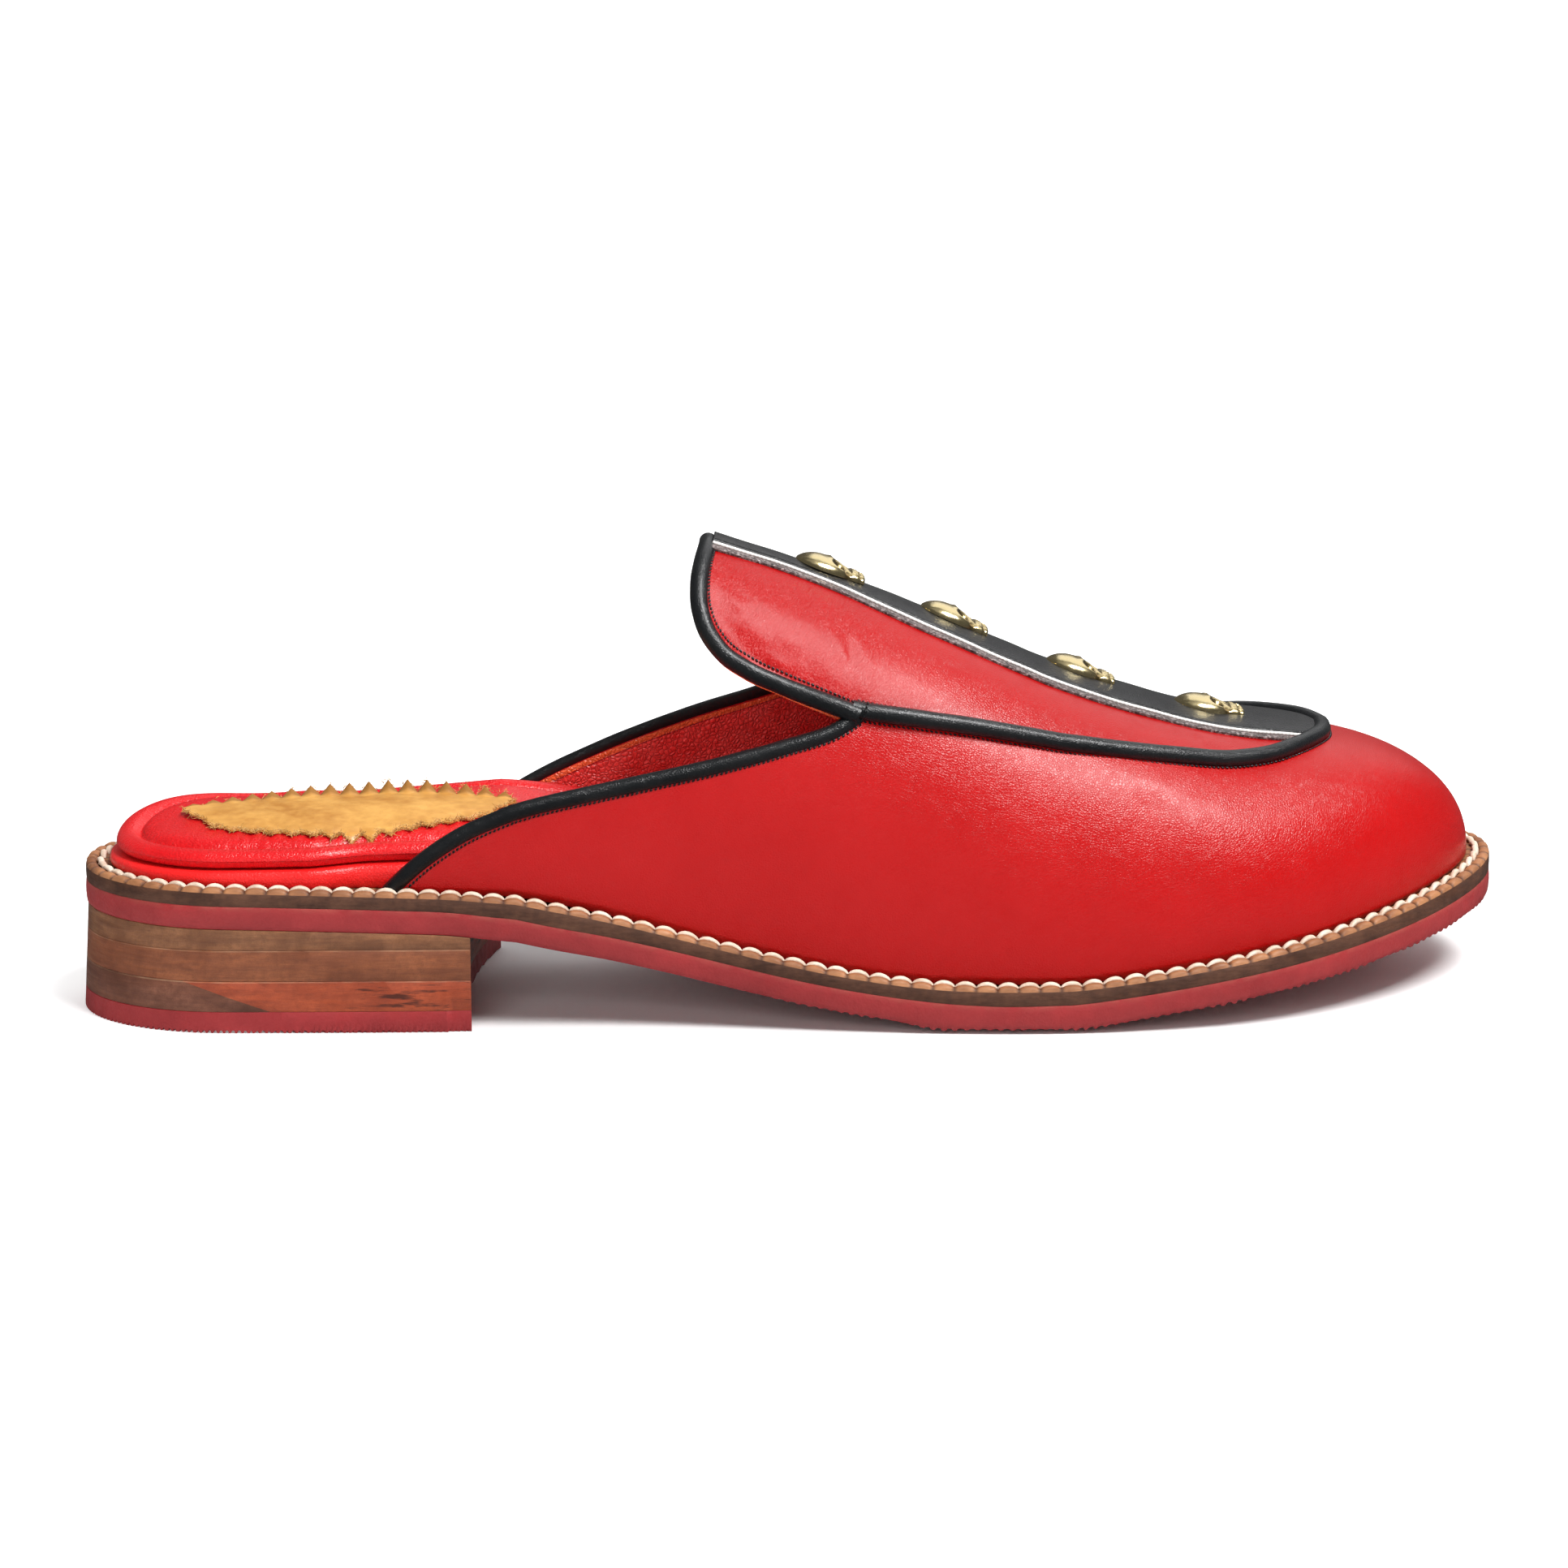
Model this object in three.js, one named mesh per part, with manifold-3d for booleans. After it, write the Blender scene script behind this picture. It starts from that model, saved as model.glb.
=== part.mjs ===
// A backless loafer mule for the right foot, in millimetres.
// The toe points along +X, the inner side of the foot is +Y, and the floor is z = 0.

import * as THREE from 'three';
import { mergeVertices } from 'three/addons/utils/BufferGeometryUtils.js';
import Module from 'manifold-3d';

const wasm = await Module();
wasm.setup();

// Driving dimensions
const LENGTH = 262;
const HALF = LENGTH / 2;
const GAP = 0.3; // clearance between curved neighbours
const GLUE_LINE = 0.1; // clearance between flat heel layers
const TIP_TRIM = 0.12; // how far the last section stops short of a rounded end
const SOLE_STATIONS = 44;
const FOOTBED_STATIONS = 38;
const WELD = 1e-4; // points nearer than this are one point

// Plan of the sole: the side lines before the two ends are rounded off
const PLAN = [
  { x: -131, lateral: -22.0, medial: 21.0 },
  { x: -100, lateral: -25.8, medial: 25.0 },
  { x: -60, lateral: -29.8, medial: 27.5 },
  { x: -25, lateral: -33.2, medial: 27.0 },
  { x: 10, lateral: -40.0, medial: 33.0 },
  { x: 40, lateral: -44.2, medial: 41.0 },
  { x: 68, lateral: -44.4, medial: 44.7 },
  { x: 100, lateral: -38.0, medial: 43.0 },
  { x: 131, lateral: -29.0, medial: 36.0 },
];
const HEEL_END = { reach: 26, power: 2.2 };
const TOE_END = { reach: 60, power: 2.2 };

// Underside of the sole: heel seat, shank curve, flat tread, toe spring
const SEAT = { x: -55, z: 16.4, slope: -0.036, shankSlope: -0.16 };
const TREAD = { from: 22, to: 42 };
const SPRING = { rise: 14.2, power: 1.28 };
const EDGE_LIFT = { rise: 1.0, run: 4.0, from: -25, to: 10 };

// Layers of the bottom
const OUTSOLE = { heel: 4.2, fore: 5.1 };
const WELT = { thickness: 2.6, inset: 0.3 };
const BOARD = { heel: 3.8, fore: 2.6, heelInset: 4.6, foreInset: 7.7 };
const PAD = { heel: 4.4, fore: 3.0, heelInset: 7.0, foreInset: 8.4, edgeDrop: 1.6 };
const PAD_SHARES = [0.92, 0.5, 0, -0.5, -0.92]; // places across the top, from inner to outer side
const ARCH = { rise: 5.8, peak: -36, behind: 42, ahead: 50, from: 0.2, to: 1 };
const FOOTBED_TURN = { from: -92, to: -80 }; // where board and pad step inside the upper
const FOOTBED_THIN = { from: -60, to: 20 }; // where board and pad become thinner

// Heel: flat layers from the floor up, with a hollowed front
const HEEL = { inset: 0.2, breastLateral: -63, breastMedial: -55, breastHollow: 3.0 };
const HEEL_LEVELS = { topPiece: 4.4, baseLift: 9.7, middleLift: 15.0 };
const SCARF = { topX: -110.5, bottomX: -98.8 };
const HEEL_STEPS = { side: 18, breast: 10 };

// The last: ridge line, height above the welt and roundness of each section
const LEDGE = 4.4; // width of welt left free outside the upper
const WALL = 2.0;
const CROWN = [
  { x: -80, ridge: 0.0, height: 60.0, power: 2.15 },
  { x: -40, ridge: 0.5, height: 68.5, power: 2.25 },
  { x: -14, ridge: 1.0, height: 68.5, power: 2.35 },
  { x: 13, ridge: 1.5, height: 63.3, power: 2.35 },
  { x: 37, ridge: 1.5, height: 53.2, power: 2.35 },
  { x: 62, ridge: 1.5, height: 41.6, power: 2.45 },
  { x: 76, ridge: 1.5, height: 35.6, power: 2.5 },
  { x: 90, ridge: 1.5, height: 31.8, power: 2.5 },
  { x: 131, ridge: 1.0, height: 29.0, power: 2.4 },
];
const CROWN_END = { reach: 41, power: 1.95 };

// Edges of the upper: v is 0 on the ridge and 1 at the feather edge
const NOTCH = { x: 6.4, v: 0.54 };
const THROAT_LATERAL = [
  { x: -17.4, v: 0.0 },
  { x: -18.4, v: 0.1 },
  { x: -19.6, v: 0.2 },
  { x: -20.6, v: 0.3 },
  { x: -20.7, v: 0.38 },
  { x: -19.6, v: 0.44 },
  { x: -17.2, v: 0.482 },
  { x: -13.0, v: 0.507 },
  { x: -6.4, v: 0.522 },
  { x: 0.4, v: 0.532 },
  NOTCH,
];
const THROAT_MEDIAL = [
  { x: -17.4, v: 0.0 },
  { x: -17.0, v: 0.1 },
  { x: -16.8, v: 0.2 },
  { x: -16.4, v: 0.3 },
  { x: -15.4, v: 0.38 },
  { x: -13.6, v: 0.44 },
  { x: -11.2, v: 0.482 },
  { x: -7.6, v: 0.507 },
  { x: -2.6, v: 0.522 },
  { x: 1.8, v: 0.532 },
  NOTCH,
];
const QUARTER_LATERAL = [
  NOTCH,
  { x: 2.4, v: 0.588 },
  { x: -6.6, v: 0.656 },
  { x: -18.2, v: 0.726 },
  { x: -30.0, v: 0.782 },
  { x: -41.6, v: 0.828 },
  { x: -53.4, v: 0.869 },
  { x: -65.0, v: 0.914 },
  { x: -70.8, v: 0.95 },
  { x: -77.0, v: 1.0 },
];
const QUARTER_MEDIAL = [
  NOTCH,
  { x: 2.2, v: 0.588 },
  { x: -6.0, v: 0.65 },
  { x: -19.0, v: 0.73 },
  { x: -28.8, v: 0.788 },
  { x: -38.2, v: 0.844 },
  { x: -48.8, v: 0.908 },
  { x: -55.5, v: 0.952 },
  { x: -62.0, v: 1.0 },
];
const APRON = [
  { x: 6.6, v: 0.531 },
  { x: 16.4, v: 0.518 },
  { x: 27.0, v: 0.481 },
  { x: 44.6, v: 0.41 },
  { x: 62.4, v: 0.366 },
  { x: 71.6, v: 0.329 },
  { x: 81.6, v: 0.267 },
  { x: 89.8, v: 0.184 },
  { x: 95.6, v: 0.095 },
  { x: 97.6, v: 0.0 },
];
const UPPER_GRID = { along: 22, throatSteps: 9, quarterSteps: 7 };
const FOOT_TRIM = 1; // how far the wall runs on downwards before it is trimmed to the welt
const TRIM_DEPTH = 30; // depth of the block under the feather that trims it
const V_SPAN = 60; // millimetres that one unit of v counts for when a line is divided evenly
const PROBE = { x: 1, v: 0.02 }; // steps for measuring the slope of the upper

// Trim
const QUARTER_BINDING = 1.7; // radii of the rolled edges
const THROAT_BINDING = 1.8;
const ROLL = { sides: 8, linePoints: 14, throatSteps: 36, quarterSteps: 20, runOut: 8 };
const BEAD = { halfWidth: 1.85, height: 2.3, steps: 22 };
const BEAD_PROFILE = [
  { side: -1, rise: 0 },
  { side: -0.92, rise: 0.5 },
  { side: -0.55, rise: 0.88 },
  { side: 0, rise: 1 },
  { side: 0.55, rise: 0.88 },
  { side: 0.92, rise: 0.5 },
  { side: 1, rise: 0 },
];
const STRIP = { thickness: 1.0, from: -15.5, to: 96.5, steps: 20, columns: 4 };
const STRIP_WIDTH = [
  { x: -18, half: 5.2 },
  { x: -6, half: 5.4 },
  { x: 6, half: 7.0 },
  { x: 18, half: 9.6 },
  { x: 32, half: 11.0 },
  { x: 60, half: 12.2 },
  { x: 76, half: 11.4 },
  { x: 88, half: 11.2 },
  { x: 92, half: 10.4 },
  { x: 96.5, half: 6.0 },
];
const PIPING = { width: 2.6, thickness: 1.0, to: 89.5, columns: 1 };
const PATCH = { from: -113.5, to: -53, halfWidth: 14, middle: 0, thickness: 1.1, lift: 0.5, curl: 1.2 };
const PATCH_EDGE = { teeth: 17, tooth: 1.3, tip: 0.03, fullness: 1.05 };
const PATCH_ACROSS = [-1, -0.6, 0, 0.6, 1];
const STUD_X = [4.5, 27.5, 51.4, 76.1];
const STUD = { cranium: [4.6, 5.0, 1.9], jaw: [3.6, 3.3, 1.5], craniumX: -2.1, jawX: 3.3, lift: 0.2 };
const EYE = { x: 0.7, y: 2.1, z: 1.9, radius: 1.2 };
const FACETS = { cranium: [12, 8], jaw: [8, 6], eye: [6, 4] };

// Tools for curves and solids

// A smooth line through one column of a table: a cubic with slopes taken from the neighbours.
function along(table, x, column) {
  const last = table.length - 1;
  const at = THREE.MathUtils.clamp(x, table[0].x, table[last].x);
  let i = 0;
  while (i < last - 1 && at > table[i + 1].x) i += 1;
  const step = (k) => table[k + 1].x - table[k].x;
  const rise = (k) => (table[k + 1][column] - table[k][column]) / step(k);
  const slope = (k) => {
    if (k === 0) return rise(0);
    if (k === last) return rise(last - 1);
    return (rise(k - 1) * step(k) + rise(k) * step(k - 1)) / (step(k) + step(k - 1));
  };
  const u = (at - table[i].x) / step(i);
  const w = 1 - u;
  const before = (1 + 2 * u) * w * w * table[i][column];
  const after = u * u * (3 - 2 * u) * table[i + 1][column];
  return before + after + step(i) * (u * w * w * slope(i) - u * u * w * slope(i + 1));
}

function smooth(x, from, to) {
  return THREE.MathUtils.smoothstep(x, from, to);
}

function blend(a, b, t) {
  return a + (b - a) * t;
}

// Quarter of a superellipse: 1 on the inside, 0 at the end.
function endRound(distance, end) {
  const t = THREE.MathUtils.clamp(distance / end.reach, 0, 1);
  return Math.pow(1 - Math.pow(t, end.power), 1 / end.power);
}

// Section places along X, closer together at both rounded ends.
function stations(from, to, count) {
  const list = [];
  for (let i = 0; i <= count; i += 1) {
    list.push(blend(from, to, 0.5 - 0.5 * Math.cos((Math.PI * i) / count)));
  }
  return list;
}

// A closed solid from vertices and triangles, turned so that its faces point out.
function solidFrom(points, triangles) {
  let volume = 0;
  for (const [a, b, c] of triangles) {
    volume += points[a].dot(points[b].clone().cross(points[c]));
  }
  const ordered = volume > 0 ? triangles : triangles.map(([a, b, c]) => [a, c, b]);
  const geometry = new THREE.BufferGeometry();
  geometry.setFromPoints(points);
  geometry.setIndex(ordered.flat());
  return geometry;
}

// Closed rings of equal size joined in a row, with a fan at both ends.
function loft(rings) {
  const size = rings[0].length;
  const points = rings.flat();
  const triangles = [];
  for (let i = 0; i < rings.length - 1; i += 1) {
    for (let j = 0; j < size; j += 1) {
      const a = i * size + j;
      const b = i * size + ((j + 1) % size);
      triangles.push([a, b, b + size], [a, b + size, a + size]);
    }
  }
  const cap = (ring, start, flip) => {
    const middle = new THREE.Vector3();
    ring.forEach((p) => middle.addScaledVector(p, 1 / size));
    const centre = points.push(middle) - 1;
    for (let j = 0; j < size; j += 1) {
      const a = start + j;
      const b = start + ((j + 1) % size);
      triangles.push(flip ? [centre, b, a] : [centre, a, b]);
    }
  };
  cap(rings[0], 0, true);
  cap(rings[rings.length - 1], (rings.length - 1) * size, false);
  return solidFrom(points, triangles);
}

function toManifold(geometry) {
  const bare = geometry.clone();
  bare.deleteAttribute('normal');
  bare.deleteAttribute('uv');
  const merged = mergeVertices(bare, WELD);
  const vertProperties = new Float32Array(merged.attributes.position.array);
  const triVerts = new Uint32Array(merged.index.array);
  return new wasm.Manifold(new wasm.Mesh({ numProp: 3, vertProperties, triVerts }));
}

function fromManifold(solid) {
  const mesh = solid.getMesh();
  const geometry = new THREE.BufferGeometry();
  geometry.setAttribute('position', new THREE.BufferAttribute(new Float32Array(mesh.vertProperties), 3));
  geometry.setIndex(new THREE.BufferAttribute(new Uint32Array(mesh.triVerts), 1));
  return geometry;
}

// A round roll along a line of points.
function roll(points, radius, steps) {
  const outline = [];
  for (let i = 0; i < ROLL.sides; i += 1) {
    const angle = (2 * Math.PI * i) / ROLL.sides;
    outline.push(new THREE.Vector2(radius * Math.cos(angle), radius * Math.sin(angle)));
  }
  const path = new THREE.CatmullRomCurve3(points);
  const options = { steps, bevelEnabled: false, extrudePath: path };
  return new THREE.ExtrudeGeometry(new THREE.Shape(outline), options);
}

// Form of the sole

function sides(x, inset) {
  const lateral = along(PLAN, x, 'lateral') + inset;
  const medial = along(PLAN, x, 'medial') - inset;
  const middle = (lateral + medial) / 2;
  const heel = { reach: HEEL_END.reach - inset, power: HEEL_END.power };
  const toe = { reach: TOE_END.reach - inset, power: TOE_END.power };
  const toHeel = heel.reach - (x + HALF - inset);
  const toToe = toe.reach - (HALF - inset - x);
  const rounding = endRound(toHeel, heel) * endRound(toToe, toe);
  const half = ((medial - lateral) / 2) * rounding;
  return { lateral: middle - half, medial: middle + half, middle, rounding };
}

function soleBottom(x) {
  if (x < SEAT.x) return SEAT.z + SEAT.slope * (x - SEAT.x);
  if (x < TREAD.from) {
    const reach = TREAD.from - SEAT.x;
    const u = (x - SEAT.x) / reach;
    const w = 1 - u;
    return w * w * ((1 + 2 * u) * SEAT.z + u * reach * SEAT.shankSlope);
  }
  const t = Math.max(0, (x - TREAD.to) / (HALF - TREAD.to));
  return SPRING.rise * Math.pow(t, SPRING.power);
}

function foreShare(x) {
  return smooth(x, EDGE_LIFT.from, EDGE_LIFT.to);
}

function outsoleTop(x) {
  return soleBottom(x) + blend(OUTSOLE.heel, OUTSOLE.fore, foreShare(x));
}

function weltTop(x) {
  return outsoleTop(x) + WELT.thickness;
}

function boardTop(x) {
  return weltTop(x) + blend(BOARD.heel, BOARD.fore, smooth(x, FOOTBED_THIN.from, FOOTBED_THIN.to));
}

function padTop(x) {
  return boardTop(x) + blend(PAD.heel, PAD.fore, smooth(x, FOOTBED_THIN.from, FOOTBED_THIN.to));
}

function footbedInset(x, layer) {
  return blend(layer.heelInset, layer.foreInset, smooth(x, FOOTBED_TURN.from, FOOTBED_TURN.to));
}

// A layer that follows the sole: one ring of points for each station.
function layer(insetAt, count, ringAt) {
  const from = -HALF + insetAt(-HALF) + TIP_TRIM;
  const to = HALF - insetAt(HALF) - TIP_TRIM;
  return loft(
    stations(from, to, count).map((x) => {
      const edge = sides(x, insetAt(x));
      return ringAt(x, edge).map(([y, z]) => new THREE.Vector3(x, y, z));
    }),
  );
}

function flatLayer(insetAt, count, bottomAt, topAt) {
  return layer(insetAt, count, (x, edge) => [
    [edge.lateral, bottomAt(x)],
    [edge.medial, bottomAt(x)],
    [edge.medial, topAt(x)],
    [edge.lateral, topAt(x)],
  ]);
}

function outsole() {
  const ringAt = (x, edge) => {
    const run = Math.min(EDGE_LIFT.run, (edge.medial - edge.lateral) / 3);
    const low = soleBottom(x);
    const lifted = low + EDGE_LIFT.rise * foreShare(x);
    const top = outsoleTop(x) - GAP / 2;
    return [
      [edge.lateral, lifted],
      [edge.lateral + run, low],
      [edge.medial - run, low],
      [edge.medial, lifted],
      [edge.medial, top],
      [edge.lateral, top],
    ];
  };
  return layer(() => 0, SOLE_STATIONS, ringAt);
}

function welt() {
  const bottomAt = (x) => outsoleTop(x) + GAP / 2;
  return flatLayer(() => WELT.inset, SOLE_STATIONS, bottomAt, weltTop);
}

function insoleBoard() {
  const insetAt = (x) => footbedInset(x, BOARD);
  const bottomAt = (x) => weltTop(x) + GAP;
  return flatLayer(insetAt, FOOTBED_STATIONS, bottomAt, boardTop);
}

// Top of the sock pad: crowned, and raised under the inner arch of the foot.
function padSurface(x, y) {
  const edge = sides(x, footbedInset(x, PAD));
  const share = (2 * (y - edge.middle)) / (edge.medial - edge.lateral);
  const drop = PAD.edgeDrop * Math.max(0, Math.abs(share) - 1 / 2);
  const climb = smooth(x, ARCH.peak - ARCH.behind, ARCH.peak);
  const fall = smooth(x, ARCH.peak, ARCH.peak + ARCH.ahead);
  const across = smooth(share, ARCH.from, ARCH.to);
  return padTop(x) - drop + ARCH.rise * climb * (1 - fall) * across;
}

// The sock pad: a slab with a rolled edge.
function sockPad() {
  const ringAt = (x, edge) => {
    const bottom = boardTop(x) + GAP;
    const half = (edge.medial - edge.lateral) / 2;
    const roundIn = Math.min(PAD.edgeDrop, half / 2);
    const side = (y) => [y, (bottom + padSurface(x, y)) / 2];
    const top = PAD_SHARES.map((share) => {
      const y = edge.middle + share * half;
      return [y, padSurface(x, y)];
    });
    return [
      [edge.lateral + roundIn, bottom],
      [edge.medial - roundIn, bottom],
      side(edge.medial),
      ...top,
      side(edge.lateral),
    ];
  };
  return layer((x) => footbedInset(x, PAD), FOOTBED_STATIONS, ringAt);
}

// The lens-shaped sock patch with pinked edges, lying on the pad with its inner side curled up.
function sockPatch() {
  const rings = [];
  const { teeth, tooth, tip, fullness } = PATCH_EDGE;
  const count = teeth * 2;
  for (let i = 0; i <= count; i += 1) {
    const t = i / count;
    const x = blend(PATCH.from, PATCH.to, t);
    const lens = Math.pow(Math.sin(Math.PI * blend(tip, 1 - tip, t)), fullness);
    const half = PATCH.halfWidth * lens + (i % 2) * tooth;
    const across = PATCH_ACROSS.map((share) => {
      const y = PATCH.middle + share * half;
      const curl = PATCH.curl * lens * Math.max(0, share) ** 2;
      return new THREE.Vector3(x, y, padSurface(x, y) + PATCH.lift + curl);
    });
    const top = across.map((p) => new THREE.Vector3(p.x, p.y, p.z + PATCH.thickness));
    rings.push([...across, ...top.reverse()]);
  }
  return loft(rings);
}

// Heel

function breastX(y) {
  const low = sides(HEEL.breastLateral, HEEL.inset).lateral;
  const high = sides(HEEL.breastMedial, HEEL.inset).medial;
  const t = (y - low) / (high - low);
  const chord = blend(HEEL.breastLateral, HEEL.breastMedial, t);
  return chord - HEEL.breastHollow * 4 * t * (1 - t);
}

function heelOutline() {
  const tip = -HALF + HEEL.inset + TIP_TRIM;
  const lateral = [];
  const medial = [];
  for (let i = 0; i <= HEEL_STEPS.side; i += 1) {
    const t = 1 - Math.cos((Math.PI / 2) * (i / HEEL_STEPS.side));
    const lateralX = blend(tip, HEEL.breastLateral, t);
    const medialX = blend(tip, HEEL.breastMedial, t);
    lateral.push(new THREE.Vector2(lateralX, sides(lateralX, HEEL.inset).lateral));
    medial.push(new THREE.Vector2(medialX, sides(medialX, HEEL.inset).medial));
  }
  const breast = [];
  const low = lateral[HEEL_STEPS.side].y;
  const high = medial[HEEL_STEPS.side].y;
  for (let i = 1; i < HEEL_STEPS.breast; i += 1) {
    const y = blend(low, high, i / HEEL_STEPS.breast);
    breast.push(new THREE.Vector2(breastX(y), y));
  }
  return [...lateral, ...breast, ...medial.reverse()];
}

// One heel layer between two heights that may slope along X.
function heelLayer(bottomAt, topAt) {
  const shape = new THREE.Shape(heelOutline());
  const geometry = new THREE.ExtrudeGeometry(shape, { depth: 1, bevelEnabled: false });
  const position = geometry.attributes.position;
  for (let i = 0; i < position.count; i += 1) {
    const x = position.getX(i);
    position.setZ(i, blend(bottomAt(x), topAt(x), position.getZ(i)));
  }
  return geometry;
}

// A wedge that holds everything behind the slanted joint of the base lift.
function behindScarf(shift) {
  const low = HEEL_LEVELS.topPiece;
  const high = HEEL_LEVELS.baseLift;
  const slope = (SCARF.topX - SCARF.bottomX) / (high - low);
  const lineX = (z) => SCARF.bottomX + slope * (z - low) + shift;
  const below = low - 1;
  const above = high + 1;
  const outline = [
    new THREE.Vector2(-LENGTH, below),
    new THREE.Vector2(lineX(below), below),
    new THREE.Vector2(lineX(above), above),
    new THREE.Vector2(-LENGTH, above),
  ];
  const options = { depth: LENGTH, bevelEnabled: false };
  const wedge = new THREE.ExtrudeGeometry(new THREE.Shape(outline), options);
  wedge.translate(0, 0, -HALF);
  wedge.rotateX(Math.PI / 2);
  return toManifold(wedge);
}

function heelPieces() {
  const level = (z, shift) => () => z + shift;
  const half = GLUE_LINE / 2;
  const { topPiece, baseLift, middleLift } = HEEL_LEVELS;
  const seat = (x) => SEAT.z + SEAT.slope * (x - SEAT.x) - GAP;
  const base = toManifold(heelLayer(level(topPiece, half), level(baseLift, -half)));
  return {
    heel_top_piece: heelLayer(level(0, 0), level(topPiece, -half)),
    heel_base_rear: fromManifold(base.intersect(behindScarf(-half))),
    heel_base_front: fromManifold(base.subtract(behindScarf(half))),
    heel_middle_lift: heelLayer(level(baseLift, half), level(middleLift, -half)),
    heel_seat_lift: heelLayer(level(middleLift, half), seat),
  };
}

// The upper

// A point of the upper: v runs from -1 at the lateral feather edge over 0 on the ridge to 1,
// depth is measured inwards from the outer face.
function last(x, v, depth = 0) {
  const inset = LEDGE + depth;
  const edge = sides(x, inset);
  const toTip = CROWN_END.reach - (HALF - inset - x);
  const height = (along(CROWN, x, 'height') - depth) * endRound(toTip, CROWN_END);
  const ridge = edge.middle + (along(CROWN, x, 'ridge') - edge.middle) * edge.rounding;
  const power = 2 / along(CROWN, x, 'power');
  const angle = (Math.min(1, Math.abs(v)) * Math.PI) / 2;
  const reach = (v < 0 ? edge.lateral : edge.medial) - ridge;
  const y = ridge + reach * Math.pow(Math.sin(angle), power);
  const z = weltTop(x) + GAP + height * Math.pow(Math.max(0, Math.cos(angle)), power);
  return new THREE.Vector3(x, y, z);
}

// The direction that points out of the upper.
function outward(x, v) {
  const dx = last(x + PROBE.x, v).sub(last(x - PROBE.x, v));
  const dv = last(x, v + PROBE.v).sub(last(x, v - PROBE.v));
  return dx.cross(dv).normalize();
}

// The v of the point that lies a given distance beside the ridge.
function besideRidge(x, y) {
  const edge = sides(x, LEDGE);
  const ridge = edge.middle + (along(CROWN, x, 'ridge') - edge.middle) * edge.rounding;
  const reach = y < 0 ? ridge - edge.lateral : edge.medial - ridge;
  const share = Math.pow(Math.abs(y) / reach, along(CROWN, x, 'power') / 2);
  return (Math.sign(y) * Math.asin(Math.min(1, share)) * 2) / Math.PI;
}

// Equally spaced places on one edge line, from its first row to its last.
function edgeLine(rows, side, count) {
  const places = rows.map(({ x, v }) => new THREE.Vector3(x, v * V_SPAN, 0));
  const curve = new THREE.CatmullRomCurve3(places);
  return curve.getSpacedPoints(count).map((p) => ({ x: p.x, v: (side * p.y) / V_SPAN }));
}

const LATERAL = -1;
const MEDIAL = 1;

// The whole rear edge from the lateral feather over the flap to the medial feather.
function rearEdge() {
  const { throatSteps, quarterSteps } = UPPER_GRID;
  const half = (throat, quarter, side) => {
    const flap = edgeLine(throat, side, throatSteps);
    const low = edgeLine(quarter, side, quarterSteps);
    return [...flap, ...low.slice(1)];
  };
  const lateral = half(THROAT_LATERAL, QUARTER_LATERAL, LATERAL).reverse();
  const medial = half(THROAT_MEDIAL, QUARTER_MEDIAL, MEDIAL);
  return [...lateral, ...medial.slice(1)];
}

// The hollow wall between an outer and an inner face, closed round the rear edge and the feather.
function upperWall() {
  const edge = rearEdge();
  const rows = UPPER_GRID.along;
  const columns = edge.length;
  const face = (depth) => {
    const tip = HALF - LEDGE - depth;
    const points = [];
    for (let i = 0; i < rows; i += 1) {
      const share = Math.sin((Math.PI / 2) * (i / rows));
      edge.forEach(({ x, v }) => points.push(last(blend(x, tip, share), v, depth)));
      points[i * columns].z -= FOOT_TRIM;
      points[points.length - 1].z -= FOOT_TRIM;
    }
    points.push(last(tip, 0, depth));
    points[points.length - 1].z -= FOOT_TRIM;
    return points;
  };
  const outer = face(0);
  const inner = face(WALL);
  const shift = outer.length;
  const at = (i, j) => (i === rows ? rows * columns : i * columns + j);
  const triangles = [];
  const quad = (a, b, c, d) => {
    if (a !== b && b !== c) triangles.push([a, b, c]);
    if (c !== d && d !== a && c !== a) triangles.push([a, c, d]);
  };
  for (let i = 0; i < rows; i += 1) {
    for (let j = 0; j < columns - 1; j += 1) {
      const ring = [at(i, j), at(i + 1, j), at(i + 1, j + 1), at(i, j + 1)];
      const back = ring.map((k) => k + shift).reverse();
      quad(...ring);
      quad(...[back[3], back[0], back[1], back[2]]);
    }
    const near = [at(i, 0), at(i + 1, 0)];
    const far = [at(i, columns - 1), at(i + 1, columns - 1)];
    quad(near[1], near[0], near[0] + shift, near[1] + shift);
    quad(far[0], far[1], far[1] + shift, far[0] + shift);
  }
  for (let j = 0; j < columns - 1; j += 1) {
    quad(at(0, j), at(0, j + 1), at(0, j + 1) + shift, at(0, j) + shift);
  }
  return toManifold(solidFrom([...outer, ...inner], triangles));
}

// The line in the middle of the wall that a rolled edge follows.
function edgePoints(rows, side, count) {
  return edgeLine(rows, side, count).map(({ x, v }) => last(x, v, WALL / 2));
}

// The same line carried on past its end, so that a cut runs right through.
function carriedOn(points, length) {
  const end = points[points.length - 1];
  const before = points[points.length - 2];
  const beyond = end.clone().sub(before).setLength(length).add(end);
  return [...points, beyond];
}

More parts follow.
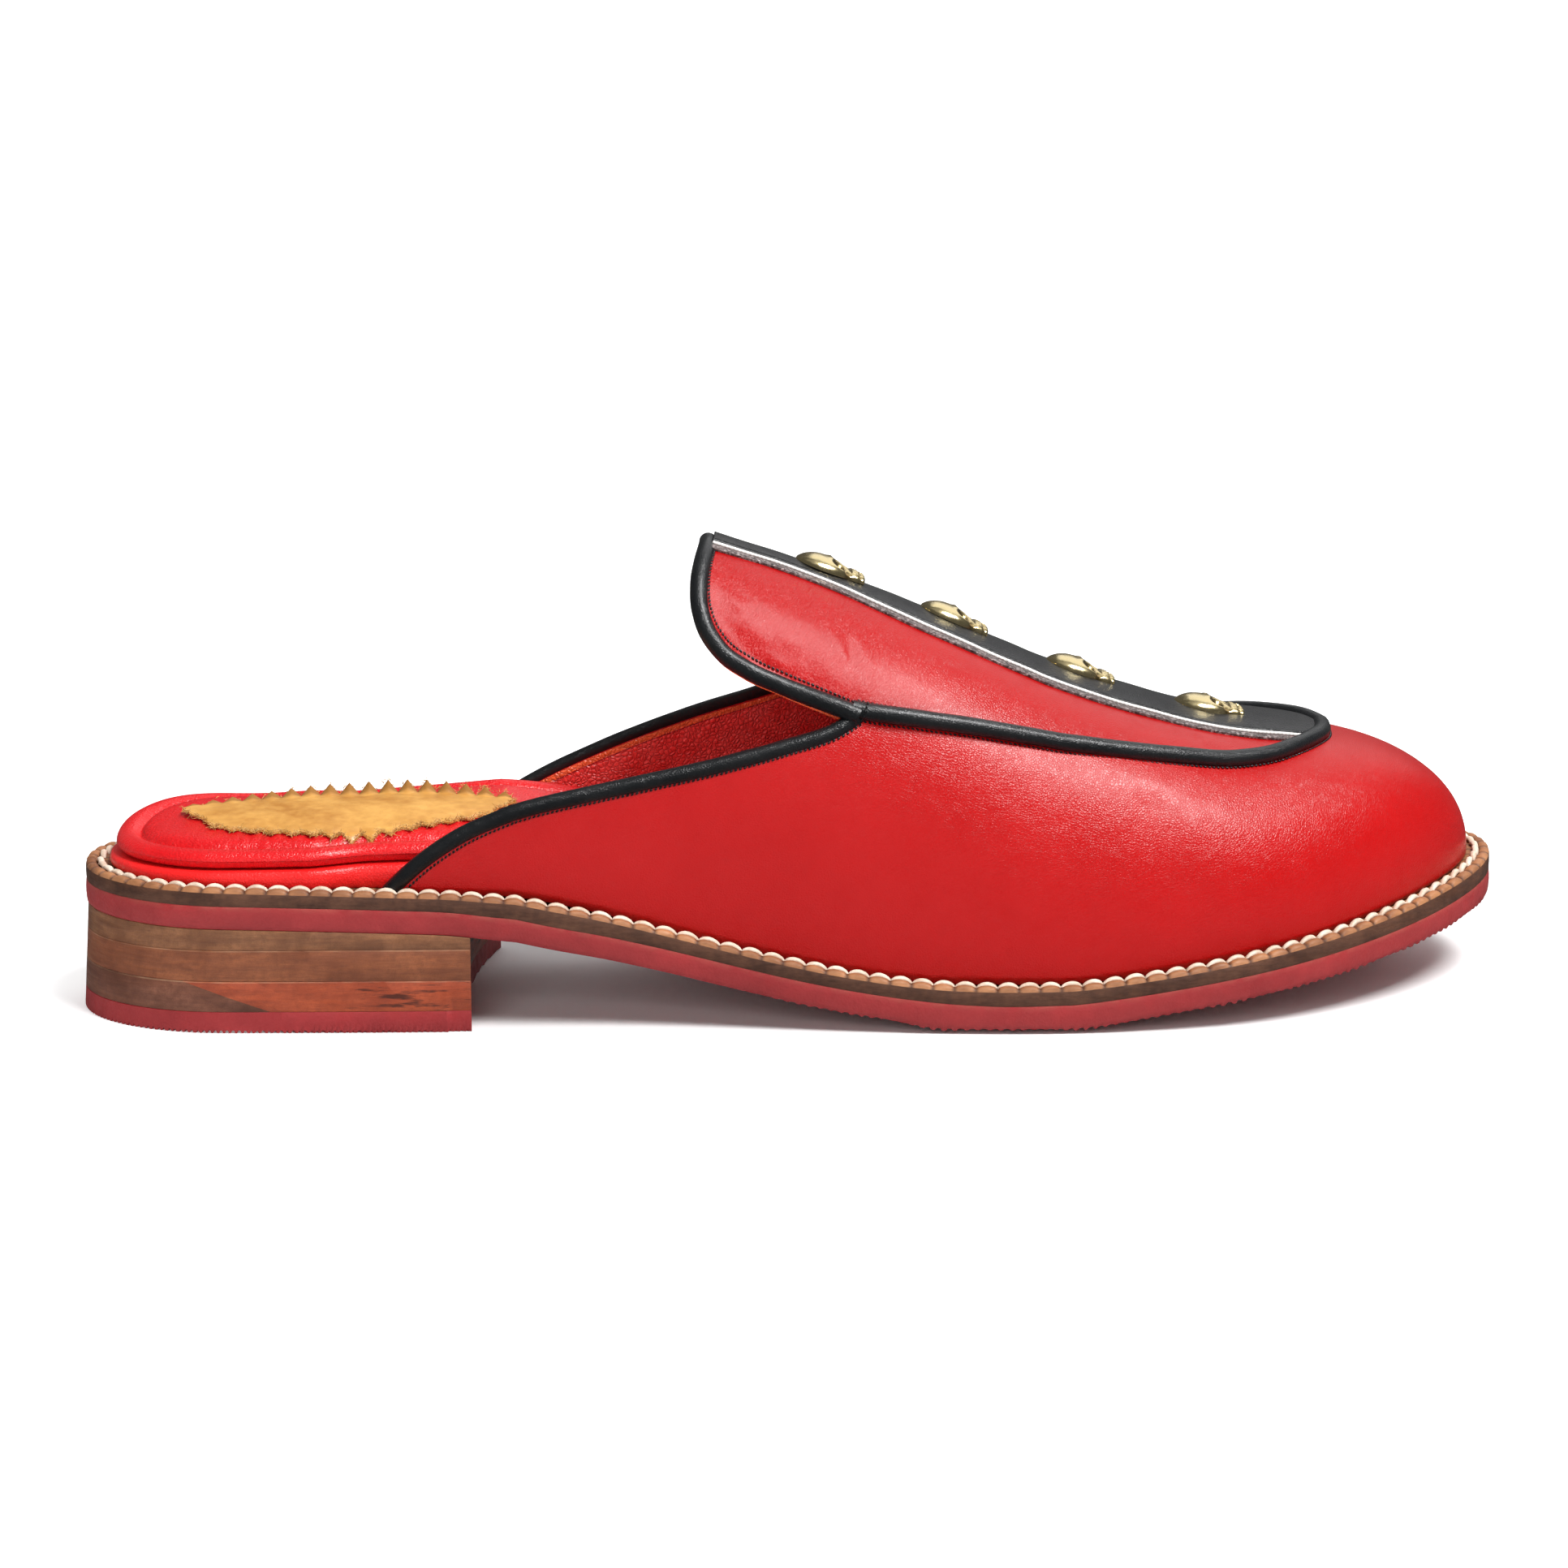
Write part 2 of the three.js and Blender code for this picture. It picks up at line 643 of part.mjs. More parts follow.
function upperAndTrim() {
  const throatLine = [
    ...edgePoints(THROAT_LATERAL, LATERAL, ROLL.linePoints).reverse(),
    ...edgePoints(THROAT_MEDIAL, MEDIAL, ROLL.linePoints).slice(1),
  ];
  const throatRoll = (radius) => toManifold(roll(throatLine, radius, ROLL.throatSteps));
  const quarterRoll = (rows, side, radius) => {
    const line = carriedOn(edgePoints(rows, side, ROLL.linePoints), ROLL.runOut);
    return toManifold(roll(line, radius, ROLL.quarterSteps));
  };
  const trimTop = (x) => weltTop(x) + GAP;
  const trimFloor = (x) => weltTop(x) - TRIM_DEPTH;
  const underfoot = toManifold(flatLayer(() => WELT.inset, SOLE_STATIONS, trimFloor, trimTop));
  const throatCut = throatRoll(THROAT_BINDING + GAP);
  const beadCut = beadForm(GAP);
  let upper = upperWall().subtract(underfoot).subtract(throatCut);
  const bindings = {};
  const quarters = [
    ['quarter_binding_lateral', QUARTER_LATERAL, LATERAL],
    ['quarter_binding_medial', QUARTER_MEDIAL, MEDIAL],
  ];
  for (const [name, rows, side] of quarters) {
    upper = upper.subtract(quarterRoll(rows, side, QUARTER_BINDING + GAP));
    const binding = quarterRoll(rows, side, QUARTER_BINDING).subtract(throatCut).subtract(beadCut);
    bindings[name] = fromManifold(binding.subtract(underfoot));
  }
  return {
    upper: fromManifold(upper),
    throat_binding: fromManifold(throatRoll(THROAT_BINDING)),
    ...bindings,
    ...apronTrim(throatCut, beadCut),
  };
}

// Overlays on the upper

// The piped bead round the apron: a half-round profile carried over the last.
// A spread makes the wider form that cuts neighbouring bands clear of it.
function beadForm(spread) {
  const half = edgeLine(APRON, LATERAL, BEAD.steps);
  const other = edgeLine(APRON, MEDIAL, BEAD.steps).reverse();
  const path = [...half, ...other.slice(1)];
  const points = path.map(({ x, v }) => last(x, v));
  const rings = path.map(({ x, v }, i) => {
    const before = points[Math.max(0, i - 1)];
    const after = points[Math.min(points.length - 1, i + 1)];
    const up = outward(x, v);
    const across = after.clone().sub(before).cross(up).normalize();
    return BEAD_PROFILE.map(({ side, rise }) =>
      points[i]
        .clone()
        .addScaledVector(across, side * (BEAD.halfWidth + spread))
        .addScaledVector(up, GAP - spread + rise * (BEAD.height + 2 * spread)),
    );
  });
  return toManifold(loft(rings));
}

// A flat band on the last, between two distances beside the ridge that change along it.
function band(fromAt, toAt, fromX, toX, thickness, columns, count) {
  const rings = [];
  for (let i = 0; i <= count; i += 1) {
    const x = blend(fromX, toX, i / count);
    const low = [];
    const high = [];
    for (let j = 0; j <= columns; j += 1) {
      const v = besideRidge(x, blend(fromAt(x), toAt(x), j / columns));
      const up = outward(x, v);
      const foot = last(x, v);
      low.push(foot.clone().addScaledVector(up, GAP));
      high.push(foot.clone().addScaledVector(up, GAP + thickness));
    }
    rings.push([...low, ...high.reverse()]);
  }
  return toManifold(loft(rings));
}

// The centre strip and the piping on both sides of it, trimmed between throat roll and bead.
function apronTrim(throatCut, beadCut) {
  const { from, to, thickness, steps, columns } = STRIP;
  const half = (x) => along(STRIP_WIDTH, x, 'half');
  const trimmed = (solid) => fromManifold(solid.subtract(throatCut).subtract(beadCut));
  const piping = (side) => {
    const inner = (x) => side * (half(x) + GAP);
    const outer = (x) => inner(x) + side * PIPING.width;
    return trimmed(band(inner, outer, from, PIPING.to, PIPING.thickness, PIPING.columns, steps));
  };
  return {
    apron_bead: fromManifold(beadForm(0).subtract(throatCut)),
    centre_strip: trimmed(band((x) => -half(x), half, from, to, thickness, columns, steps)),
    piping_lateral: piping(LATERAL),
    piping_medial: piping(MEDIAL),
  };
}

function ellipsoid(radii, x, facets) {
  const ball = new THREE.SphereGeometry(1, ...facets);
  ball.scale(...radii);
  ball.translate(x, 0, 0);
  return ball;
}

// A skull-shaped stud: a domed cranium, a narrower jaw and two eye hollows, flat underneath.
function studForm() {
  const reach = 20;
  const cranium = toManifold(ellipsoid(STUD.cranium, STUD.craniumX, FACETS.cranium));
  const jaw = toManifold(ellipsoid(STUD.jaw, STUD.jawX, FACETS.jaw));
  const floor = new THREE.BoxGeometry(reach, reach, reach);
  floor.translate(0, 0, -reach / 2);
  let form = cranium.add(jaw).subtract(toManifold(floor));
  for (const side of [-1, 1]) {
    const hollow = new THREE.SphereGeometry(EYE.radius, ...FACETS.eye);
    hollow.translate(EYE.x, side * EYE.y, EYE.z);
    form = form.subtract(toManifold(hollow));
  }
  return fromManifold(form);
}

function stud(x) {
  const up = outward(x, 0);
  const forward = last(x + PROBE.x, 0).sub(last(x - PROBE.x, 0)).normalize();
  const across = up.clone().cross(forward);
  const seat = last(x, 0).addScaledVector(up, STRIP.thickness + 2 * GAP + STUD.lift);
  const place = new THREE.Matrix4().makeBasis(forward, across, up).setPosition(seat);
  return studForm().applyMatrix4(place);
}

// Materials

const FINISHES = {
  red_leather: { color: 0xb81414, roughness: 0.42, metalness: 0 },
  black_leather: { color: 0x1b1c1d, roughness: 0.45, metalness: 0 },
  red_rubber: { color: 0x8c2226, roughness: 0.6, metalness: 0 },
  brown_welt: { color: 0x6f4526, roughness: 0.7, metalness: 0 },
  stacked_leather: { color: 0x7a4522, roughness: 0.6, metalness: 0 },
  orange_lift: { color: 0x9c3f18, roughness: 0.6, metalness: 0 },
  tan_suede: { color: 0xb9812c, roughness: 0.9, metalness: 0 },
  pewter_ribbon: { color: 0x8d7f7c, roughness: 0.4, metalness: 0.6 },
  gold_metal: { color: 0xd4b04a, roughness: 0.25, metalness: 1 },
};

function piece(name, geometry, finish) {
  const mesh = new THREE.Mesh(geometry, new THREE.MeshStandardMaterial(FINISHES[finish]));
  mesh.name = name;
  return mesh;
}

// Assembly

const mule = new THREE.Group();
const heel = heelPieces();
const dressed = upperAndTrim();
mule.add(
  piece('outsole', outsole(), 'red_rubber'),
  piece('welt', welt(), 'brown_welt'),
  piece('heel_seat_lift', heel.heel_seat_lift, 'stacked_leather'),
  piece('heel_middle_lift', heel.heel_middle_lift, 'stacked_leather'),
  piece('heel_base_rear', heel.heel_base_rear, 'stacked_leather'),
  piece('heel_base_front', heel.heel_base_front, 'orange_lift'),
  piece('heel_top_piece', heel.heel_top_piece, 'red_rubber'),
  piece('insole_board', insoleBoard(), 'red_leather'),
  piece('sock_pad', sockPad(), 'red_leather'),
  piece('sock_patch', sockPatch(), 'tan_suede'),
  piece('upper', dressed.upper, 'red_leather'),
  piece('throat_binding', dressed.throat_binding, 'black_leather'),
  piece('quarter_binding_lateral', dressed.quarter_binding_lateral, 'black_leather'),
  piece('quarter_binding_medial', dressed.quarter_binding_medial, 'black_leather'),
  piece('apron_bead', dressed.apron_bead, 'black_leather'),
  piece('centre_strip', dressed.centre_strip, 'black_leather'),
  piece('piping_lateral', dressed.piping_lateral, 'pewter_ribbon'),
  piece('piping_medial', dressed.piping_medial, 'pewter_ribbon'),
);
STUD_X.forEach((x, i) => mule.add(piece(`stud_${i + 1}`, stud(x), 'gold_metal')));

export default mule;
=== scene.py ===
# %% [markdown]
# # A red backless loafer mule, right foot
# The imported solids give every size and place. This lesson puts the real surfaces round them: leather with
# grain and creases, a stitched welt, a stacked heel, a padded sock and small gilt studs. All shapes are
# formulas in millimetres, worked out as whole numpy arrays and written into meshes in metres.

# %% Load the frame
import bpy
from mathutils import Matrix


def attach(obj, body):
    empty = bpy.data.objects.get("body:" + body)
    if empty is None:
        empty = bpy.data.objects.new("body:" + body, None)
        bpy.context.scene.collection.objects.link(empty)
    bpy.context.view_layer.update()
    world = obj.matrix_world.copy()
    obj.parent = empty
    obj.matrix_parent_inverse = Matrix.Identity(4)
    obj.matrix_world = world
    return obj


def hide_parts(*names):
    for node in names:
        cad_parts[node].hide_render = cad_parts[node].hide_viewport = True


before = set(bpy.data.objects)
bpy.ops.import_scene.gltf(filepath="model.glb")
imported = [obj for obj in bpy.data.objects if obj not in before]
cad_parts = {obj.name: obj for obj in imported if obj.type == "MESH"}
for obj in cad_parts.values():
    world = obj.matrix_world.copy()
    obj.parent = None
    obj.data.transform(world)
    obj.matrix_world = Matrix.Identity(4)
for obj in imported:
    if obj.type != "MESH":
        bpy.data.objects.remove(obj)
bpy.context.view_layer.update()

import math

import bmesh
import bpy
import numpy as np
from mathutils import Vector

MM = 0.001

# %% [markdown]
# ## Camera
# The photograph looks at the outer side from a little behind and a little above. A camera could be matched
# by eye; here its place was worked out from the sole, heel and floor lines, so the model lands on the same
# pixels.

# %% Camera
CAMERA = {"azimuth": -7.0, "elevation": 12.5, "distance": 0.700, "lens": 87.01, "sensor": 36.0}
TARGET = np.array([-0.00357, 0.00044, 0.03674])


def from_angles(azimuth, elevation):
    """Unit vector from the object to a point at this azimuth and elevation."""
    a, e = math.radians(azimuth), math.radians(elevation)
    return np.array([math.sin(a) * math.cos(e), -math.cos(a) * math.cos(e), math.sin(e)])


def aim(thing, place, target):
    """Puts a camera or lamp at a place and turns its view axis to the target."""
    thing.location = place
    thing.rotation_mode = "QUATERNION"
    thing.rotation_quaternion = Vector(np.subtract(target, place)).to_track_quat("-Z", "Y")


camera = bpy.data.objects.new("camera", bpy.data.cameras.new("camera"))
bpy.context.collection.objects.link(camera)
camera.data.lens, camera.data.sensor_width = CAMERA["lens"], CAMERA["sensor"]
camera.data.clip_start, camera.data.clip_end = 0.01, 50.0
aim(camera, TARGET + from_angles(CAMERA["azimuth"], CAMERA["elevation"]) * CAMERA["distance"], TARGET)
bpy.context.scene.camera = camera
bpy.context.scene.view_settings.view_transform = "Standard"
print("camera at", np.round(camera.location, 4))

# %% [markdown]
# ## Studio light
# A product photograph is lit by large softboxes, which leave long, soft sheens on polished leather. A
# picture of a studio as surrounding light would do it too, but area lamps can be moved one by one.

# %% Lamps and surrounding light
LAMPS = {
    "key_softbox": {"azimuth": 42, "elevation": 60, "distance": 1.3, "size": 0.5, "watts": 23.0},
    "back_softbox": {"azimuth": 150, "elevation": 42, "distance": 1.7, "size": 1.3, "watts": 5.0},
    "top_softbox": {"azimuth": 0, "elevation": 86, "distance": 1.6, "size": 1.5, "watts": 1.2},
    "front_fill": {"azimuth": -18, "elevation": 22, "distance": 1.6, "size": 0.9, "watts": 8.5, "sheen": False},
}
LAMP_TARGET = (0, 0, 0.03)
WORLD_STRENGTH = 0.08
for name, lamp in LAMPS.items():
    data = bpy.data.lights.new(name, "AREA")
    data.shape, data.size, data.energy = "SQUARE", lamp["size"], lamp["watts"]
    thing = bpy.data.objects.new(name, data)
    thing.visible_glossy = lamp.get("sheen", True)
    bpy.context.collection.objects.link(thing)
    aim(thing, from_angles(lamp["azimuth"], lamp["elevation"]) * lamp["distance"], LAMP_TARGET)
world = bpy.data.worlds.new("studio")
world.use_nodes = True
background = world.node_tree.nodes["Background"].inputs
background["Color"].default_value = (1.0, 1.0, 1.0, 1.0)
background["Strength"].default_value = WORLD_STRENGTH
bpy.context.scene.world = world
print("lamps:", len(LAMPS))

# %% [markdown]
# ## Small tools
# Three helpers carry the whole lesson. `along` draws a smooth line through one column of a short table,
# `write_mesh` puts arrays of points and faces into a Blender mesh, and `tube_faces` names the faces of a
# grid whose columns close into a ring. Modifiers could do some of this, but a formula shows the shape
# plainly.


# %% Curves
def smooth(x, start, end):
    """Smooth step: 0 before start, 1 after end, and 3t^2 - 2t^3 between them."""
    t = np.clip((np.asarray(x, float) - start) / (end - start), 0, 1)
    return t * t * (3 - 2 * t)


def blend(a, b, t):
    """Straight mix of a and b."""
    return a + (b - a) * t


def along(table, x, column):
    """Cubic line through one column of a table over its first column, slopes from the neighbouring rows."""
    xs, ys = table[:, 0], table[:, column]
    step = np.diff(xs)
    rise = np.diff(ys) / step
    slope = np.concatenate([rise[:1], np.zeros(len(xs) - 2), rise[-1:]])
    slope[1:-1] = (rise[:-1] * step[1:] + rise[1:] * step[:-1]) / (step[1:] + step[:-1])
    x = np.clip(np.asarray(x, float), xs[0], xs[-1])
    i = np.clip(np.searchsorted(xs, x, side="right") - 1, 0, len(step) - 1)
    u = (x - xs[i]) / step[i]
    w = 1 - u
    ends = (1 + 2 * u) * w * w * ys[i] + u * u * (3 - 2 * u) * ys[i + 1]
    return ends + step[i] * (u * w * w * slope[i] - u * u * w * slope[i + 1])


def unit(vectors):
    """Vectors of length 1 along the last axis."""
    return vectors / np.maximum(np.linalg.norm(vectors, axis=-1, keepdims=True), 1e-12)


def circle(count):
    """Angles of evenly spaced points round a circle."""
    return np.linspace(0, 2 * np.pi, count, endpoint=False)


def run_length(points):
    """Length of a line of points from its start to each of them."""
    return np.concatenate([[0], np.cumsum(np.linalg.norm(np.diff(points, axis=0), axis=1))])


print("a smooth step at a quarter and a half:", smooth([0.25, 0.5], 0, 1))

# %% Meshes
SHARP_ANGLE = math.radians(42)
WELD = 1e-7


def write_mesh(name, points, faces, material_of_face=None, sharp=True, uv=None, values=None, closed=True):
    """A mesh object from points in millimetres and an array of quads, or a list of faces of any size. uv is one
    pair per point, values is a dict of one number per point. On a closed piece the points that lie on one spot
    are joined and all faces are turned outwards."""
    mesh = bpy.data.meshes.new(name)
    points = np.asarray(points, float).reshape(-1, 3)
    rows = [np.asarray(face, int) for face in faces]
    sizes = np.array([len(r) for r in rows])
    loops = np.concatenate(rows)
    mesh.vertices.add(len(points))
    mesh.vertices.foreach_set("co", (points * MM).ravel())
    mesh.loops.add(len(loops))
    mesh.loops.foreach_set("vertex_index", loops)
    mesh.polygons.add(len(rows))
    mesh.polygons.foreach_set("loop_start", np.concatenate([[0], np.cumsum(sizes)[:-1]]))
    mesh.polygons.foreach_set("use_smooth", np.ones(len(rows), bool))
    if material_of_face is not None:
        mesh.polygons.foreach_set("material_index", np.asarray(material_of_face, np.int32))
    if uv is not None:
        layer = mesh.uv_layers.new(name="pattern")
        layer.data.foreach_set("uv", np.asarray(uv, float).reshape(-1, 2)[loops].ravel())
    for key, numbers in (values or {}).items():
        attribute = mesh.attributes.new(key, "FLOAT", "POINT")
        attribute.data.foreach_set("value", np.asarray(numbers, float).ravel())
    mesh.update(calc_edges=True)
    mesh.validate()
    if closed:
        work = bmesh.new()
        work.from_mesh(mesh)
        bmesh.ops.remove_doubles(work, verts=work.verts, dist=WELD)
        bmesh.ops.recalc_face_normals(work, faces=work.faces)
        work.to_mesh(mesh)
        work.free()
    if sharp:
        mesh.set_sharp_from_angle(angle=SHARP_ANGLE)
    piece = bpy.data.objects.new(name, mesh)
    bpy.context.collection.objects.link(piece)
    return piece


print("edges are sharp from", round(math.degrees(SHARP_ANGLE)), "degrees")


# %% Faces
def tube_faces(rows, columns, closed=True, start=0):
    """Quads of a grid of points, row after row; a closed grid joins its last column to its first."""
    i, j = np.meshgrid(np.arange(rows - 1), np.arange(columns if closed else columns - 1), indexing="ij")
    a, b = i * columns + j, i * columns + (j + 1) % columns
    return start + np.stack([a, b, b + columns, a + columns], -1).reshape(-1, 4)


def end_caps(rows, columns):
    """The two end faces of a tube of points, row after row."""
    first = np.arange(columns)
    return np.stack([first[::-1], first + (rows - 1) * columns])


def many_tubes(count, rows, columns):
    """Quads and end faces of many small closed tubes that follow each other in one point array."""
    starts = np.arange(count)[:, None, None] * rows * columns
    walls, caps = tube_faces(rows, columns)[None] + starts, end_caps(rows, columns)[None] + starts
    return [*walls.reshape(-1, 4), *caps.reshape(-1, columns)]


print("faces of a small closed tube:", len(many_tubes(1, 3, 8)))


# %% Dressing a piece
def dress(piece, materials, nodes=()):
    """Gives a piece its materials, lets it stand for its CAD nodes and ride on the one body of the shoe."""
    for material in materials:
        piece.data.materials.append(material)
    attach(piece, "root")
    if nodes:
        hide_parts(*nodes)
    print(f"{piece.name}: {len(piece.data.vertices)} points, {len(piece.data.polygons)} faces")
    return piece


# %% [markdown]
# ## White sweep
# The shoe stands on a white sheet that bends up behind it, so no horizon shows. A flat plane would end in
# view; one bent strip of faces is enough, and it stays out of the reflections.


# %% Floor sweep
def studio_floor():
    """A white sheet: flat under the shoe, bent up behind it on a quarter circle, then upright."""
    radius, reach_back, reach_front, wide, high = 600.0, 1400.0, 9000.0, 9000.0, 2500.0
    angle = np.linspace(0, np.pi / 2, 24)
    y = np.concatenate([[-reach_front], reach_back + radius * np.sin(angle), [reach_back + radius]])
    z = np.concatenate([[0.0], radius * (1 - np.cos(angle)), [high]])
    x = np.array([-wide, wide])
    points = np.stack([np.tile(x, len(y)), np.repeat(y, 2), np.repeat(z, 2)], -1)
    return write_mesh("studio_floor", points, tube_faces(len(y), 2, closed=False), sharp=False, closed=False)


floor = studio_floor()
floor.visible_glossy = False
print("floor ready")

# %% [markdown]
# ## Node helpers and shared effects
# Every finish is procedural. Effects that several finishes need are node groups that are built once:
# leather grain from small cells, soft mottling from noise, and long fibres for cut leather. A group gives
# out values only; the shader stays in each material.


# %% Node helpers
def feed(tree, socket, value):
    """Links another node's output to a socket, or sets a number or colour on it."""
    if isinstance(value, bpy.types.NodeSocket):
        tree.links.new(value, socket)
    else:
        socket.default_value = value


def add(tree, kind, inputs=None, **settings):
    """A shader node with its settings and inputs; an input is a number, a colour or another node's output."""
    made = tree.nodes.new("ShaderNode" + kind)
    for key, value in settings.items():
        setattr(made, key, value)
    for key, value in (inputs or {}).items():
        feed(tree, made.inputs[key], value)
    return made


# %% Value nodes
def math_node(tree, operation, a, b=None, clamp=False):
    """Output of a Math node."""
    inputs = {0: a} if b is None else {0: a, 1: b}
    return add(tree, "Math", inputs, operation=operation, use_clamp=clamp).outputs[0]


def times(tree, a, b, clamp=False):
    """Product of two values."""
    return math_node(tree, "MULTIPLY", a, b, clamp)


def is_near(tree, value, middle, reach):
    """1 where a value lies within reach of the middle, otherwise 0."""
    return add(tree, "Math", {0: value, 1: middle, 2: reach}, operation="COMPARE").outputs[0]


def ranged(tree, value, start=(0.0, 1.0), end=(0.0, 1.0)):
    """A value carried from the range start to the range end and held at both."""
    limits = {"From Min": start[0], "From Max": start[1], "To Min": end[0], "To Max": end[1]}
    return add(tree, "MapRange", {"Value": value, **limits}).outputs[0]


# %% Colour nodes
def mix_colour(tree, factor, a, b):
    """Output of a colour Mix node."""
    return add(tree, "Mix", {0: factor, 6: a, 7: b}, data_type="RGBA").outputs[2]


def stained(tree, shade, mask, share, colour):
    """Mixes a share of a colour into a shade where the mask is bright."""
    return mix_colour(tree, times(tree, mask, share), shade, colour)


def ramp(tree, factor, stops):
    """Colour ramp output; stops are (place, colour)."""
    made = add(tree, "ValToRGB", {"Fac": factor})
    elements = made.color_ramp.elements
    while len(elements) < len(stops):
        elements.new(0.5)
    for element, (place, colour) in zip(elements, stops):
        element.position, element.color = place, colour
    return made.outputs["Color"]


def rgb(r, g, b):
    """Colour with full alpha."""
    return (r, g, b, 1.0)


def scaled(colour, *shares):
    """A colour with its red, green and blue scaled."""
    return rgb(*(part * share for part, share in zip(colour, shares)))


# %% Places and stored values
def axis(tree, vector, name):
    """One axis of a vector."""
    return add(tree, "SeparateXYZ", {0: vector}).outputs[name]


def pattern_axis(tree, name):
    """One axis of the UV map."""
    return axis(tree, add(tree, "UVMap", uv_map="pattern").outputs["UV"], name)


def point_value(tree, name):
    """The number that write_mesh stored at every point under this name."""
    return add(tree, "Attribute", attribute_name=name).outputs["Fac"]


def noise(tree, place, size, detail, **more):
    """Noise texture value."""
    return add(tree, "TexNoise", {"Vector": place, "Scale": size, "Detail": detail, **more}).outputs


# %% Node groups
def new_group(name, number, value, outputs):
    """An empty node group with a vector and a number as inputs: (tree, input sockets, output sockets)."""
    tree = bpy.data.node_groups.new(name, "ShaderNodeTree")
    tree.interface.new_socket("Vector", in_out="INPUT", socket_type="NodeSocketVector")
    tree.interface.new_socket(number, in_out="INPUT", socket_type="NodeSocketFloat").default_value = value
    for key in outputs:
        tree.interface.new_socket(key, in_out="OUTPUT", socket_type="NodeSocketFloat")
    given, out = tree.nodes.new("NodeGroupInput"), tree.nodes.new("NodeGroupOutput")
    return tree, given.outputs, out.inputs


# %% Grain, mottling and fibres
def grain_group():
    """Leather grain: cells with rounded tops between fine valleys, uneven in size, over a slow swell."""
    tree, given, out = new_group("leather_grain", "Cells", 900.0, ["Height", "Valley"])
    warp = noise(tree, given["Vector"], 240.0, 2.0)["Color"]
    offset = add(tree, "VectorMath", {0: warp, "Scale": 0.0016}, operation="SCALE")
    place = add(tree, "VectorMath", {0: given["Vector"], 1: offset.outputs[0]}, operation="ADD")
    cells = add(tree, "TexVoronoi", {"Vector": place.outputs[0], "Scale": given["Cells"]},
                feature="DISTANCE_TO_EDGE")
    from_edge = cells.outputs["Distance"]
    tops = math_node(tree, "POWER", times(tree, from_edge, 2.4, clamp=True), 0.6)
    swell = noise(tree, given["Vector"], 420.0, 3.0)["Fac"]
    feed(tree, out["Height"], times(tree, tops, math_node(tree, "ADD", swell, 0.3)))
    feed(tree, out["Valley"], math_node(tree, "SUBTRACT", 1.0, times(tree, from_edge, 6.0, clamp=True)))
    return tree


def mottle_group():
    """Soft patches: a broad and a finer noise, weighted, added and spread to the whole range."""
    tree, given, out = new_group("mottle", "Size", 60.0, ["Patch"])
    broad = noise(tree, given["Vector"], given["Size"], 4.0)["Fac"]
    fine = noise(tree, given["Vector"], times(tree, given["Size"], 5.3), 3.0)["Fac"]
    total = math_node(tree, "ADD", times(tree, broad, 0.65), times(tree, fine, 0.35))
    feed(tree, out["Patch"], ranged(tree, total, (0.36, 0.64)))
    return tree


def fibre_group():
    """Long fibres: noise that is stretched along X and Y and packed tightly along Z."""
    tree, given, out = new_group("cut_fibres", "Stretch", 0.12, ["Fibre"])
    squeeze = add(tree, "CombineXYZ", {"X": given["Stretch"], "Y": given["Stretch"], "Z": 1.0})
    place = add(tree, "VectorMath", {0: given["Vector"], 1: squeeze.outputs[0]}, operation="MULTIPLY")
    strands = noise(tree, place.outputs[0], 900.0, 4.0, Roughness=0.65)["Fac"]
    feed(tree, out["Fibre"], ranged(tree, strands, (0.32, 0.68)))
    return tree


GRAIN, MOTTLE, FIBRE = grain_group(), mottle_group(), fibre_group()
print("groups:", [g.name for g in (GRAIN, MOTTLE, FIBRE)])


# %% Material starter
def grain(tree, place, cells):
    """Outputs of the leather grain."""
    return add(tree, "Group", {"Vector": place, "Cells": cells}, node_tree=GRAIN).outputs


def mottle(tree, place, size):
    """Soft patches, smaller for a larger size."""
    return add(tree, "Group", {"Vector": place, "Size": size}, node_tree=MOTTLE).outputs["Patch"]


def fibres(tree, place, stretch):
    """Long fibres."""
    return add(tree, "Group", {"Vector": place, "Stretch": stretch}, node_tree=FIBRE).outputs["Fibre"]


def start_material(name, **constants):
    """A material with a Principled shader whose constant sockets are set directly, as (material, tree, shader,
    place)."""
    material = bpy.data.materials.new(name)
    material.use_nodes = True
    tree = material.node_tree
    shader = tree.nodes["Principled BSDF"]
    for key, value in constants.items():
        shader.inputs[key.replace("_", " ")].default_value = value
    return material, tree, shader, add(tree, "TexCoord").outputs["Object"]


def surface(tree, shader, colour, rough=None, bump=None):
    """Feeds the shader: a colour, a roughness as (value, lowest, highest) and a bump as (height, strength,
    distance)."""
    feed(tree, shader.inputs["Base Color"], colour)
    if rough:
        feed(tree, shader.inputs["Roughness"], ranged(tree, rough[0], end=rough[1:]))
    if bump:
        made = add(tree, "Bump", dict(zip(("Height", "Strength", "Distance"), bump)))
        feed(tree, shader.inputs["Normal"], made.outputs[0])


# %% [markdown]
# ## Leather finishes
# The upper is smooth, polished leather: a clear sheen over fine grain, and painted shade that darkens the
# valleys of the grain a little. The bindings are black leather with a soft grey shine. One function makes
# them all, because they differ only in colour, gloss and the size of the grain.

# %% Leathers
WRINKLE = {"turn": (0.3, 1.0, 0.2), "stretch": 0.3, "high": 3.5}
SKIN = {"coarse": 0.6, "patch": 45.0, "valley": 0.45, "rough": (-0.015, 0.02), "bump": 0.00012}


